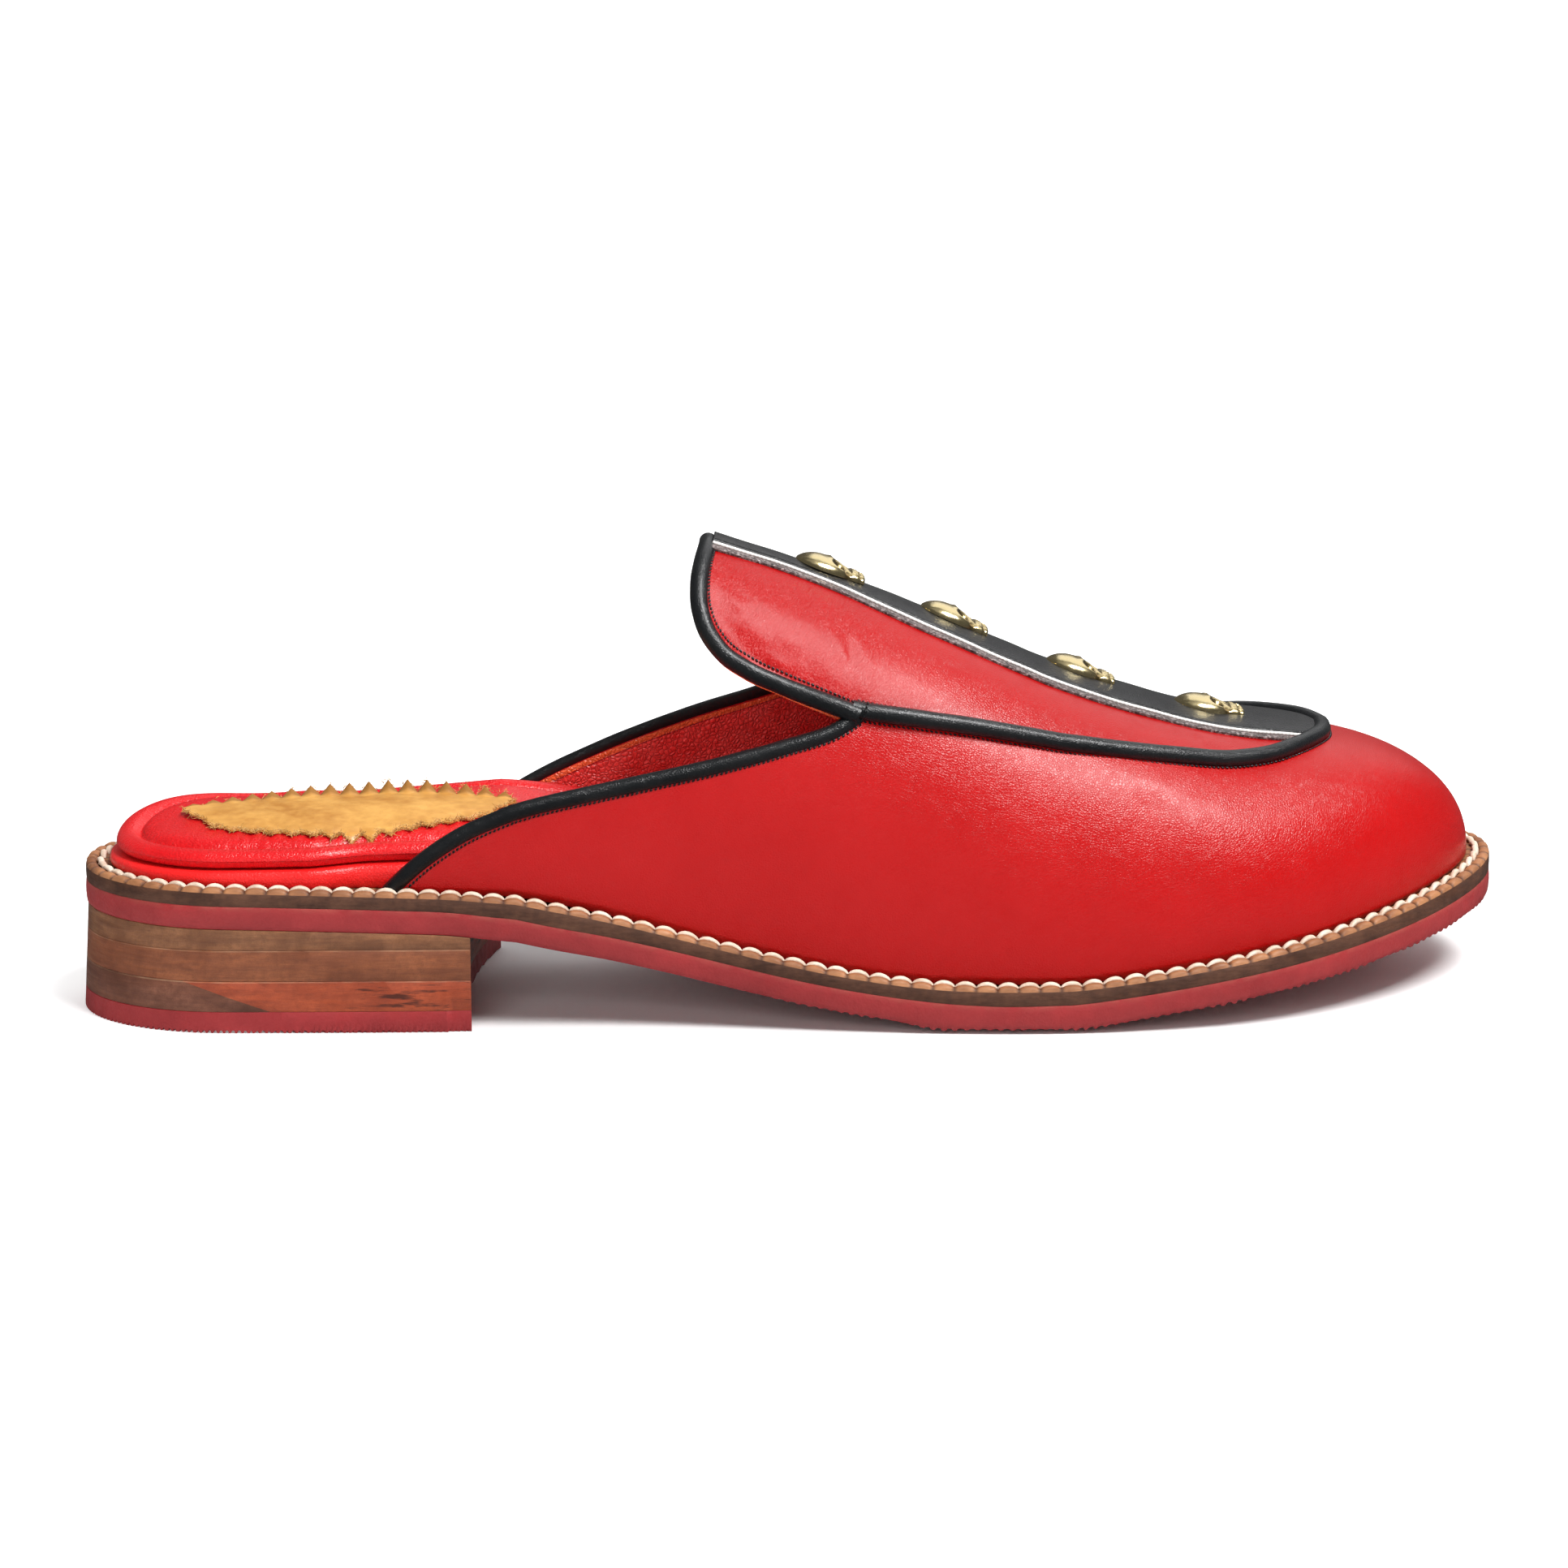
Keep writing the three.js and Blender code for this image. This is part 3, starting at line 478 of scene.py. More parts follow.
def leather(name, deep, bright, rough, cells, depth, coat, valley_shade_share):
    """Dyed leather: two shades mixed by soft patches, with painted shade that darkens the valleys of its grain.
    The point value "grain" says how coarse the skin is; where a piece has none, only fine grain is left."""
    material, tree, shader, place = start_material(
        name, Coat_Weight=coat, Coat_Roughness=0.25, Specular_IOR_Level=0.36)
    fine, coarse = grain(tree, place, cells), grain(tree, place, cells * SKIN["coarse"])
    turned = add(tree, "Mapping", {"Vector": place, "Rotation": WRINKLE["turn"]}).outputs[0]
    wrinkle = times(tree, fibres(tree, turned, WRINKLE["stretch"]), WRINKLE["high"])
    patch = mottle(tree, place, SKIN["patch"])
    shade = mix_colour(tree, patch, deep, bright)
    # Painted shade: the valleys of the grain are darkened
    shade = stained(tree, shade, fine["Valley"], valley_shade_share, scaled(deep, *[SKIN["valley"]] * 3))
    folds = times(tree, math_node(tree, "ADD", coarse["Height"], wrinkle), point_value(tree, "grain"))
    height = math_node(tree, "ADD", fine["Height"], folds)
    shine = [rough + more for more in SKIN["rough"]]
    surface(tree, shader, shade, (patch, *shine), (height, depth, SKIN["bump"]))
    return material


# Leathers: deep and bright shade, roughness, fineness and depth of the grain, clear coat, painted shade in the
# valleys
LEATHERS = {
    "red_leather": (rgb(0.385, 0.001, 0.0015), rgb(0.41, 0.0015, 0.002), 0.32, 2200.0, 0.45, 0.12, 0.05),
    # The board's red is painted lighter than the upper's: painted light where the board lies in shade under the
    # sock's rim
    "board_leather_painted_lighter": (rgb(0.74, 0.010, 0.010), rgb(0.86, 0.018, 0.018), 0.36, 1800.0, 0.5, 0.1, 0.1),
    # The pad's red is painted lighter than the upper's as well: painted light on the top of the cushion
    "pad_leather_painted_lighter": (rgb(0.60, 0.006, 0.009), rgb(0.68, 0.011, 0.014), 0.29, 1500.0, 0.6, 0.2, 0.1),
    "black_leather": (rgb(0.005, 0.006, 0.007), rgb(0.010, 0.011, 0.012), 0.30, 2600.0, 0.5, 0.25, 0.1),
    "strip_leather": (rgb(0.006, 0.006, 0.007), rgb(0.012, 0.012, 0.013), 0.38, 1500.0, 0.9, 0.15, 0.1),
}
RED, BOARD_RED, PAD_RED, BLACK, STRIP_BLACK = (leather(name, *row) for name, row in LEATHERS.items())
print("leathers:", list(LEATHERS))

# %% [markdown]
# ## Lining
# Inside, the upper is lined with coarser leather. Its edge is folded over as a bright band with a dark seam
# beside it. Both could be modelled, but they are flat, so the shader draws them by the distance from the
# edge.

# %% Lining
FOLD = {"band": (1.35, 1.25), "seam": 1.45, "seam_half": 0.1}


def lining_leather():
    """Pebbled lining with painted shade in the valleys of its pebbles, a bright folded band along the edge and
    a dark seam beside it. The point value "rim" is the distance from the edge in millimetres."""
    material, tree, shader, place = start_material("lining_leather", Roughness=0.34)
    skin = grain(tree, place, 1250.0)
    shade = mix_colour(tree, mottle(tree, place, 60.0), rgb(0.90, 0.030, 0.028), rgb(1.0, 0.10, 0.09))
    # Painted shade: the valleys between the pebbles are darkened
    shade = stained(tree, shade, skin["Valley"], 0.3, rgb(0.5, 0.02, 0.02))
    rim = point_value(tree, "rim")
    shade = mix_colour(tree, ranged(tree, rim, FOLD["band"]), shade, rgb(0.85, 0.11, 0.035))
    seam = is_near(tree, rim, FOLD["seam"], FOLD["seam_half"])
    shade = stained(tree, shade, seam, 0.6, rgb(0.12, 0.004, 0.004))
    surface(tree, shader, shade, bump=(skin["Height"], 0.9, 0.0004))
    return material


LINING = lining_leather()
print("lining:", LINING.name)

# %% [markdown]
# ## Form of the sole
# These are the driving sizes of the shoe, the same ones that shaped the solids: the plan of the sole and
# the line of its underside. They could be measured from the solids again, but as formulas they tell every
# piece below where it lies, so pieces meet without fitting.

# %% Sizes of the sole
LENGTH = 262.0
HALF = LENGTH / 2
GAP = 0.3
# Plan of the sole: x, lateral side line, medial side line
PLAN = np.array([
    (-131, -22.0, 21.0), (-100, -25.8, 25.0), (-60, -29.8, 27.5), (-25, -33.2, 27.0), (10, -40.0, 33.0),
    (40, -44.2, 41.0), (68, -44.4, 44.7), (100, -38.0, 43.0), (131, -29.0, 36.0),
])
HEEL_REACH, TOE_REACH, END_POWER = 26.0, 60.0, 2.2
SEAT = {"x": -55.0, "z": 16.4, "slope": -0.036, "shank": -0.16}
TREAD = (22.0, 42.0)
SPRING = {"rise": 14.2, "power": 1.28}
EDGE_LIFT = {"rise": 1.0, "run": 4.0, "start": -25.0, "end": 10.0}
OUTSOLE = {"heel": 4.2, "fore": 5.1}
WELT = {"thickness": 2.6, "inset": 0.3}
BOARD = {"heel_inset": 4.6, "fore_inset": 7.7}
# Covered board: x and thickness
BOARD_RISE = np.array([
    (-131, 2.5), (-112, 2.8), (-98, 3.4), (-84, 4.2), (-72, 5.0), (-60, 5.2), (-20, 3.8), (20, 2.6), (131, 2.6),
])
PAD = {"heel_inset": 5.6, "fore_inset": 8.4}
FOREPART = (-92, -80)
# Fine correction of the sole's edge line: x and rise
TRUE_LINE = np.array([
    (-131, 0.25), (-118, 0.35), (-101, 0.6), (-76, 0.75), (-67, 0.7), (-58, 0.0), (-50, -0.45), (-37, 0.0),
    (-20, 0.7), (-3, 0.85), (14, 0.75), (31, 0.0), (40, 0.15), (56, 0.45), (74, 0.4), (94, -0.2), (116, -0.85),
    (131, -1.1),
])
WELT_SHARE = 0.6


# %% Plan and underside
def end_round(distance, reach, power):
    """Quarter of a superellipse: 1 inside the shape, falling to 0 where the distance equals the reach."""
    t = np.clip(distance / reach, 0, 1)
    return (1 - t ** power) ** (1 / power)


def sides(x, inset):
    """Side lines of the sole, moved inwards and rounded at both ends: lateral, medial, middle, rounding."""
    lateral, medial = along(PLAN, x, 1) + inset, along(PLAN, x, 2) - inset
    middle = (lateral + medial) / 2
    heel = end_round(HEEL_REACH - (x + HALF), HEEL_REACH - inset, END_POWER)
    toe = end_round(TOE_REACH - (HALF - x), TOE_REACH - inset, END_POWER)
    half = (medial - lateral) / 2 * heel * toe
    return middle - half, middle + half, middle, heel * toe


def sole_bottom(x):
    """Underside: a slightly sloping seat, a cubic shank down to the flat tread, then the toe spring."""
    reach = TREAD[0] - SEAT["x"]
    u = np.clip((x - SEAT["x"]) / reach, 0, 1)
    shank = (1 - u) ** 2 * ((1 + 2 * u) * SEAT["z"] + u * reach * SEAT["shank"])
    spring = SPRING["rise"] * np.clip((x - TREAD[1]) / (HALF - TREAD[1]), 0, 1) ** SPRING["power"]
    seat = SEAT["z"] + SEAT["slope"] * (x - SEAT["x"])
    return np.where(x < SEAT["x"], seat, np.where(x < TREAD[0], shank, spring))


def true_line(x):
    """Rise of the sole's edge line over its formula; the welt takes a share of it."""
    return along(TRUE_LINE, x, 1)


def fore_share(x):
    """0 on the heel part, 1 on the forepart."""
    return smooth(x, EDGE_LIFT["start"], EDGE_LIFT["end"])


print("width at the ball:", np.round(np.subtract(*sides(np.array(60.0), 0.0)[1::-1]), 1))


# %% Levels of the sole
def outsole_top(x):
    """Height of the outsole's upper face, which is thicker on the forepart."""
    return sole_bottom(x) + blend(OUTSOLE["heel"], OUTSOLE["fore"], fore_share(x))


def welt_top(x):
    """Height of the welt's upper face."""
    return outsole_top(x) + WELT["thickness"]


def board_top(x):
    """Height of the covered board's upper face."""
    return welt_top(x) + along(BOARD_RISE, x, 1)


def footbed_inset(x, part):
    """Distance of the board or the sock from the outline of the sole, larger where the upper needs room."""
    return blend(part["heel_inset"], part["fore_inset"], smooth(x, *FOREPART))


print("welt top at heel and ball:", np.round(welt_top(np.array([-100.0, 40.0])), 2))

# %% [markdown]
# ## Form of the last
# A last is the foot-shaped block that the upper is pulled over. It could be sculpted; as a formula, each
# cross-section is a superellipse, and every seam is a line in two numbers: x along the shoe, and v, which
# is 0 on the ridge and 1 at the feather, where upper and welt meet.

# %% Sizes of the last
LEDGE, WALL = 4.4, 2.0
# Last: x, ridge, height above the welt, roundness of the section
CROWN = np.array([
    (-80, 0.0, 60.0, 2.15), (-40, 0.5, 68.5, 2.25), (-14, 1.0, 68.5, 2.35), (13, 1.5, 63.3, 2.35),
    (37, 1.5, 53.2, 2.35), (62, 1.5, 41.6, 2.45), (76, 1.5, 35.6, 2.5), (90, 1.5, 31.8, 2.5),
    (131, 1.0, 29.0, 2.4),
])
CROWN_REACH, CROWN_POWER = 41.0, 1.95
NOTCH = (6.4, 0.54)
# Edge lines of the upper: x and v, where v is 0 on the ridge and 1 at the feather
THROAT_LATERAL = np.array([
    (-17.4, 0.0), (-18.4, 0.1), (-19.6, 0.2), (-20.6, 0.3), (-20.7, 0.38), (-19.6, 0.44), (-17.2, 0.482),
    (-13.0, 0.507), (-6.4, 0.522), (0.4, 0.532), NOTCH,
])
THROAT_MEDIAL = np.array([
    (-17.4, 0.0), (-17.0, 0.1), (-16.8, 0.2), (-16.4, 0.3), (-15.4, 0.38), (-13.6, 0.44), (-11.2, 0.482),
    (-7.6, 0.507), (-2.6, 0.522), (1.8, 0.532), NOTCH,
])
QUARTER_LATERAL = np.array([
    NOTCH, (2.4, 0.588), (-6.6, 0.656), (-18.2, 0.726), (-30.0, 0.782), (-41.6, 0.828), (-53.4, 0.869),
    (-65.0, 0.914), (-70.8, 0.95), (-77.0, 1.0),
])
QUARTER_MEDIAL = np.array([
    NOTCH, (2.2, 0.588), (-6.0, 0.65), (-19.0, 0.73), (-28.8, 0.788), (-38.2, 0.844), (-48.8, 0.908),
    (-55.5, 0.952), (-62.0, 1.0),
])
APRON = np.array([
    (6.6, 0.531), (18.2, 0.503), (36.5, 0.453), (50.8, 0.415), (65.0, 0.376), (77.0, 0.334), (85.2, 0.284),
    (91.4, 0.205), (96.0, 0.100), (97.8, 0.0),
])
V_SPAN, GIRTH = 60.0, 95.0
LATERAL, MEDIAL = -1, 1


# %% Surface of the last
def ridge_line(x, inset):
    """Y of the ridge: the table's line, drawn to the middle of the plan at the rounded ends."""
    _, _, middle, rounding = sides(x, inset)
    return middle + (along(CROWN, x, 1) - middle) * rounding


def last(x, v, depth=0.0):
    """Point of the upper: a superellipse section over the welt. v runs from -1 at the lateral feather over 0 on
    the ridge to 1; depth is measured inwards from the outer face."""
    x, v = np.broadcast_arrays(np.asarray(x, float), np.asarray(v, float))
    inset = LEDGE + depth
    lateral, medial, _, _ = sides(x, inset)
    ridge = ridge_line(x, inset)
    toe = end_round(CROWN_REACH - (HALF - inset - x), CROWN_REACH, CROWN_POWER)
    height = (along(CROWN, x, 2) - depth) * toe
    power = 2 / along(CROWN, x, 3)
    angle = np.clip(np.abs(v), 0, 1) * np.pi / 2
    y = ridge + np.where(v < 0, lateral - ridge, medial - ridge) * np.sin(angle) ** power
    z = welt_top(x) + GAP + height * np.maximum(np.cos(angle), 0) ** power
    return np.stack([x, y, z], -1)


def outward(x, v):
    """Unit normal of the upper from two small differences."""
    dx = last(x + 0.5, v) - last(x - 0.5, v)
    dv = last(x, v + 0.01) - last(x, v - 0.01)
    return unit(np.cross(dx, dv))


def beside_ridge(x, y):
    """The v of the point that lies y beside the ridge."""
    lateral, medial, _, _ = sides(x, LEDGE)
    ridge = ridge_line(x, LEDGE)
    reach = np.where(y < 0, ridge - lateral, medial - ridge)
    share = np.minimum(1, (np.abs(y) / reach) ** (along(CROWN, x, 3) / 2))
    return np.sign(y) * np.arcsin(share) * 2 / np.pi


print("top of the ridge:", np.round(last(-17.4, 0.0), 1), "toe tip:", np.round(last(HALF - LEDGE, 0.0), 1))


# %% Edge lines
def edge_line(rows, side, count):
    """Evenly spaced (x, v) on an edge line: a cubic over chord length, then divided by arc length."""
    chord = run_length(rows * np.array([1.0, V_SPAN]))
    table = np.column_stack([chord, rows])
    fine = np.linspace(0, chord[-1], 2000)
    x, v = along(table, fine, 1), along(table, fine, 2)
    run = run_length(np.column_stack([x, v * V_SPAN]))
    even = np.linspace(0, run[-1], count)
    return np.interp(even, run, x), side * np.interp(even, run, v)


def over_ridge(lateral, medial):
    """Joins two edge lines that start on the ridge into one, from the lateral to the medial end."""
    return [np.concatenate([a[::-1], b[1:]]) for a, b in zip(lateral, medial)]


print("apron line at three places along x:", np.round(edge_line(APRON, LATERAL, 3)[0], 1))

# %% [markdown]
# ## Creases
# The flap bends with the foot and keeps fine creases. Each is a soft trough with raised shoulders along a
# listed line. A sculpted mesh could do this too, but here each crease is one row of a table.

# %% Creases
# Crease: x and v at its start, middle and end, half width and depth in millimetres
CREASES = np.array([
    (4.4, -0.300, 5.6, -0.370, 3.8, -0.450, 0.75, 0.26),
    (6.2, -0.335, 6.3, -0.402, 4.8, -0.472, 0.70, 0.24),
    (7.8, -0.350, 7.6, -0.400, 6.8, -0.446, 0.65, 0.16),
    (2.6, -0.360, 3.2, -0.410, 2.2, -0.462, 0.70, 0.13),
    (-18.6, -0.350, -15.0, -0.424, -8.8, -0.474, 0.80, 0.28),
    (-17.8, -0.306, -15.4, -0.372, -12.0, -0.420, 0.75, 0.22),
    (-16.6, -0.440, -10.8, -0.484, -3.8, -0.500, 0.70, 0.20),
    (-15.0, -0.392, -12.0, -0.360, -9.0, -0.334, 0.75, 0.20),
    (-16.8, -0.262, -13.6, -0.300, -11.0, -0.322, 0.80, 0.12),
    (-12.6, -0.430, -8.6, -0.446, -4.6, -0.462, 0.70, 0.16),
    (-9.6, -0.404, -6.0, -0.430, -1.6, -0.444, 0.70, 0.11),
    (4.0, 0.320, 5.0, 0.390, 3.4, 0.460, 0.75, 0.22),
    (-13.4, 0.330, -10.6, 0.400, -5.8, 0.455, 0.80, 0.22),
    (-12.2, 0.280, -9.8, 0.350, -6.4, 0.400, 0.75, 0.16),
])
CREASE = {"press": 1.2, "near": 14, "steps": 40, "shoulder": 0.5, "shoulder_at": 2.1, "fade": 0.6}


def crease_depth(x, v):
    """Sum of all creases at (x, v): each sinks by a bell over the distance to its line and rises on both sides.
    The line is a parabola through the three places of its row; its ends fade out."""
    total = np.zeros(np.shape(x))
    t = np.linspace(0, 1, CREASE["steps"])
    a, b, c = (1 - t) * (1 - 2 * t), 4 * t * (1 - t), t * (2 * t - 1)
    for x0, v0, x1, v1, x2, v2, width, depth in CREASES:
        near = (np.abs(x - x1) < CREASE["near"]) & (np.abs(v - v1) * V_SPAN < CREASE["near"])
        line_x, line_v = a * x0 + b * x1 + c * x2, (a * v0 + b * v1 + c * v2) * V_SPAN
        gap2 = (x[near][:, None] - line_x) ** 2 + (v[near][:, None] * V_SPAN - line_v) ** 2
        best = np.argmin(gap2, axis=1)
        r = np.sqrt(gap2[np.arange(len(best)), best]) / width
        fade = np.sin(np.pi * np.clip(t[best], 0.02, 0.98)) ** CREASE["fade"]
        trough = np.exp(-r ** 2) - CREASE["shoulder"] * np.exp(-(r - CREASE["shoulder_at"]) ** 2)
        total[near] += CREASE["press"] * depth * fade * trough
    return total


print("creases:", len(CREASES))

# %% [markdown]
# ## The upper
# One hollow wall pulled over the last: outer leather, lining and the folded edge between them. It is a grid
# of lines that start on the rear edge and run forward to the toe. A solidify modifier could thicken one
# sheet, but two grids keep the lining's own size and finish.

# %% Relief of the upper
UPPER_COLUMNS = {"throat": 46, "quarter": 66}
SWELL = {"high": 0.25, "length": 9.0, "from": (20, 50), "to": (85, 110)}
DENT = {"x": 60.0, "half": 5.0, "deep": 0.5, "lean": 10.0, "from": (0.48, 0.6), "to": (0.8, 0.97)}


def rear_edge():
    """Places on the rear edge from the lateral feather over the flap to the medial feather."""
    halves = []
    for throat, quarter, side in ((THROAT_LATERAL, QUARTER_LATERAL, LATERAL),
                                  (THROAT_MEDIAL, QUARTER_MEDIAL, MEDIAL)):
        flap = edge_line(throat, side, UPPER_COLUMNS["throat"])
        rest = edge_line(quarter, side, UPPER_COLUMNS["quarter"])
        halves.append([np.concatenate([a, b[1:]]) for a, b in zip(flap, rest)])
    return over_ridge(*halves)


def leather_relief(x, v):
    """Outward shift of the outer face: slow waves and one soft dent on the vamp, less the creases."""
    swell = SWELL["high"] * np.sin(x / SWELL["length"] + 3 * v) * np.sin(5 * v + 1.0)
    swell = swell * smooth(x, *SWELL["from"]) * (1 - smooth(x, *SWELL["to"]))
    lateral = smooth(-v, *DENT["from"]) * (1 - smooth(-v, *DENT["to"]))
    across = (x - DENT["x"] + DENT["lean"] * (v + 0.7)) / DENT["half"]
    return swell - DENT["deep"] * lateral * np.exp(-across ** 2) - crease_depth(x, v)


print("columns of the wall:", len(rear_edge()[0]))

# %% Upper wall
UPPER_ROWS = {"count": 150, "dense": 0.94, "from": 0.62}
EDGE_BACK = 0.8
FLAP_GRAIN = {"most": 1.5, "least": 0.1, "edge": (-0.01, 0.03), "end": (-2, 30)}


def upper_wall():
    """Outer and inner grid of the wall, joined round the rear edge and the feather. Rows are even at first and
    close up towards the toe, where all lines meet in one point."""
    edge_x, edge_v = rear_edge()
    columns = len(edge_x)
    weight = 1 - UPPER_ROWS["dense"] * smooth(np.linspace(0, 1, UPPER_ROWS["count"]), UPPER_ROWS["from"], 1.0)
    share = np.concatenate([[0], np.cumsum(weight)])
    share = (share / share[-1])[:, None]
    rows = len(share)
    step_x, step_v = np.gradient(edge_x), np.gradient(edge_v) * GIRTH
    slant = np.abs(step_v) / np.hypot(step_x, step_v)
    grids, uvs, rims, grains = [], [], [], []
    for depth in (0.0, WALL):
        x = blend(edge_x[None] + EDGE_BACK * (1 - share), HALF - LEDGE - depth, share)
        v = np.repeat(edge_v[None], rows, axis=0)
        points = last(x, v, depth)
        if depth == 0.0:
            points = points + outward(x, v) * leather_relief(x, v)[..., None]
        points[-1] = points[-1].mean(axis=0)
        grids.append(points)
        uvs.append(np.stack([x / 100, v * V_SPAN / 100], -1))
        rims.append((x - edge_x[None]) * slant[None])
        on_flap = smooth(np.interp(x, APRON[:, 0], APRON[:, 1]) - np.abs(v), *FLAP_GRAIN["edge"])
        grains.append(FLAP_GRAIN["most"] * on_flap * (1 - smooth(x, *FLAP_GRAIN["end"])) + FLAP_GRAIN["least"])
    shift = rows * columns
    outer = tube_faces(rows, columns, closed=False)[:, ::-1]
    inner = tube_faces(rows, columns, closed=False, start=shift)
    back = np.arange(columns - 1)
    rear = np.stack([back, back + 1, back + 1 + shift, back + shift], -1)[:, ::-1]
    up = np.arange(rows - 1) * columns
    near = np.stack([up, up + columns, up + columns + shift, up + shift], -1)
    far = near[:, ::-1] + columns - 1
    faces = np.concatenate([outer, inner, rear, near, far])
    kinds = np.concatenate([np.zeros(len(outer)), np.ones(len(inner)), np.zeros(len(rear) + 2 * len(near))])
    return write_mesh("mule_upper", np.concatenate(grids), faces, kinds, sharp=False, uv=np.concatenate(uvs),
                      values={"rim": np.concatenate(rims), "grain": np.concatenate(grains)})


dress(upper_wall(), [RED, LINING], ["upper"])

# %% [markdown]
# ## Bound edges
# The raw edges of flap and quarters are wrapped in a rolled strip of black leather. A curve with a bevel
# would do, but rings worked out along the edge line lie exactly on the wall, and slow waves in their size
# make them look pulled by hand.

# %% Roll helpers
ROLL_SIDES = 18
ROLL_ROWS = {"throat": 110, "quarter": 150, "bead": 190}
WAVER = {"roll": 0.012, "bead": 0.015, "lining": 0.05}


def roll_rings(path, normal, half, lift, waver, count=ROLL_SIDES):
    """Rings round a path: an ellipse across the path, raised by lift, its size wavering by slow waves."""
    run = run_length(path)
    tangent = unit(np.gradient(path, axis=0))
    across = unit(np.cross(tangent, normal))
    up = np.cross(across, tangent)
    size = 1 + waver * (np.sin(run / 4.1) * np.sin(run / 9.7 + 1) + 0.5 * np.sin(run / 1.7 + 2))
    angle = circle(count)
    ring = (across[:, None] * (half[0] * np.cos(angle))[None, :, None]
            + up[:, None] * (half[1] * np.sin(angle))[None, :, None]) * size[:, None, None]
    return path[:, None] + up[:, None] * lift + ring, run


def roll_piece(name, rings, run, material, node):
    """A closed roll with flat ends from its rings."""
    rows, columns, _ = rings.shape
    uv = np.stack(np.broadcast_arrays(run[:, None] / 10, np.linspace(0, 1, columns)[None]), -1)
    piece = write_mesh(name, rings, many_tubes(1, rows, columns), uv=uv)
    return dress(piece, [material], [node] if node else [])


# %% Bound edges
# Rolls: half width and half height of the round, lift off the edge line
THROAT_ROLL = {"half": (1.66, 1.62), "lift": 0.15, "rise": 1.25, "rise_from": -7.0}
QUARTER_ROLL = {"lateral": 1.5, "medial": 1.3, "top": 1.8}
LINING_ROLL = {"half": (0.75, 0.6), "under": 0.9, "sides": 10}
throats = ((THROAT_LATERAL, LATERAL), (THROAT_MEDIAL, MEDIAL))
throat_x, throat_v = over_ridge(*(edge_line(rows, side, ROLL_ROWS["throat"]) for rows, side in throats))
throat_normal = outward(throat_x, throat_v)
throat_rise = THROAT_ROLL["rise"] * smooth(throat_x, THROAT_ROLL["rise_from"], NOTCH[0])
throat_path = last(throat_x, throat_v, WALL / 2) + throat_normal * throat_rise[:, None]
rings, run = roll_rings(throat_path, throat_normal, THROAT_ROLL["half"], THROAT_ROLL["lift"], WAVER["roll"])
roll_piece("throat_roll", rings, run, BLACK, "throat_binding")
QUARTERS = (("lateral", QUARTER_LATERAL, LATERAL), ("medial", QUARTER_MEDIAL, MEDIAL))
for name, rows, side in QUARTERS:
    x, v = edge_line(rows, side, ROLL_ROWS["quarter"])
    thick = QUARTER_ROLL[name]
    lift = QUARTER_ROLL["top"] - thick
    rings, run = roll_rings(last(x, v, WALL / 2), outward(x, v), (thick, thick), lift, WAVER["roll"])
    roll_piece(f"quarter_roll_{name}", rings, run, BLACK, f"quarter_binding_{name}")

under = last(throat_x, throat_v, WALL + LINING_ROLL["under"])
rings, run = roll_rings(under, throat_normal, LINING_ROLL["half"], 0.0, WAVER["lining"], LINING_ROLL["sides"])
roll_piece("lining_edge", rings, run, LINING, None)

# %% [markdown]
# ## Apron bead
# A fatter roll covers the seam round the apron and sinks in under the joint with the throat. A bevelled
# curve would do here too, but the same rings as before keep it on the wall, from one joint round the toe to
# the other.

# %% Apron bead
BEAD = {"half": (1.62, 1.52), "lift": 0.75, "sunk": 0.3, "start": (5.2, 0.5325), "ease": 7.0}
bead_line = np.concatenate([[BEAD["start"]], APRON])
halves = (edge_line(bead_line, side, ROLL_ROWS["bead"]) for side in (LATERAL, MEDIAL))
bead_x, bead_v = over_ridge(*([part[::-1] for part in half] for half in halves))
bead_normal = outward(bead_x, bead_v)
bead_start = BEAD["start"][0]
bead_lift = blend(BEAD["sunk"], BEAD["lift"], smooth(bead_x, bead_start, bead_start + BEAD["ease"]))
bead_path = last(bead_x, bead_v) + bead_normal * bead_lift[:, None]
rings, run = roll_rings(bead_path, bead_normal, BEAD["half"], 0.0, WAVER["bead"])
roll_piece("apron_roll", rings, run, BLACK, "apron_bead")

# %% [markdown]
# ## Bite stitches
# Tiny black stitches bite into the red leather along every roll. Instances would do, but one mesh of small
# ellipsoids is lighter to handle and stays one piece.

# %% Stitch helpers
BITE = {"pitch": 0.85, "long": 0.36, "wide": 0.22, "high": 0.18, "lift": 0.05, "slant": 0.45, "rows": 200}


def pebbles(name, centre, axes, radii, material, rows=5, columns=6):
    """Many small ellipsoids: latitude rings scaled by three radii along three axes."""
    lat = np.linspace(-0.5, 0.5, rows)[:, None] * np.pi * 0.92
    lon = circle(columns)
    ball = np.stack([np.sin(lat) + 0 * lon, np.cos(lat) * np.cos(lon), np.cos(lat) * np.sin(lon)], -1)
    points = centre[:, None, None] + np.einsum("rcj,nj,njk->nrck", ball, radii, axes)
    piece = write_mesh(name, points, many_tubes(len(centre), rows, columns), sharp=False)
    return dress(piece, [material])


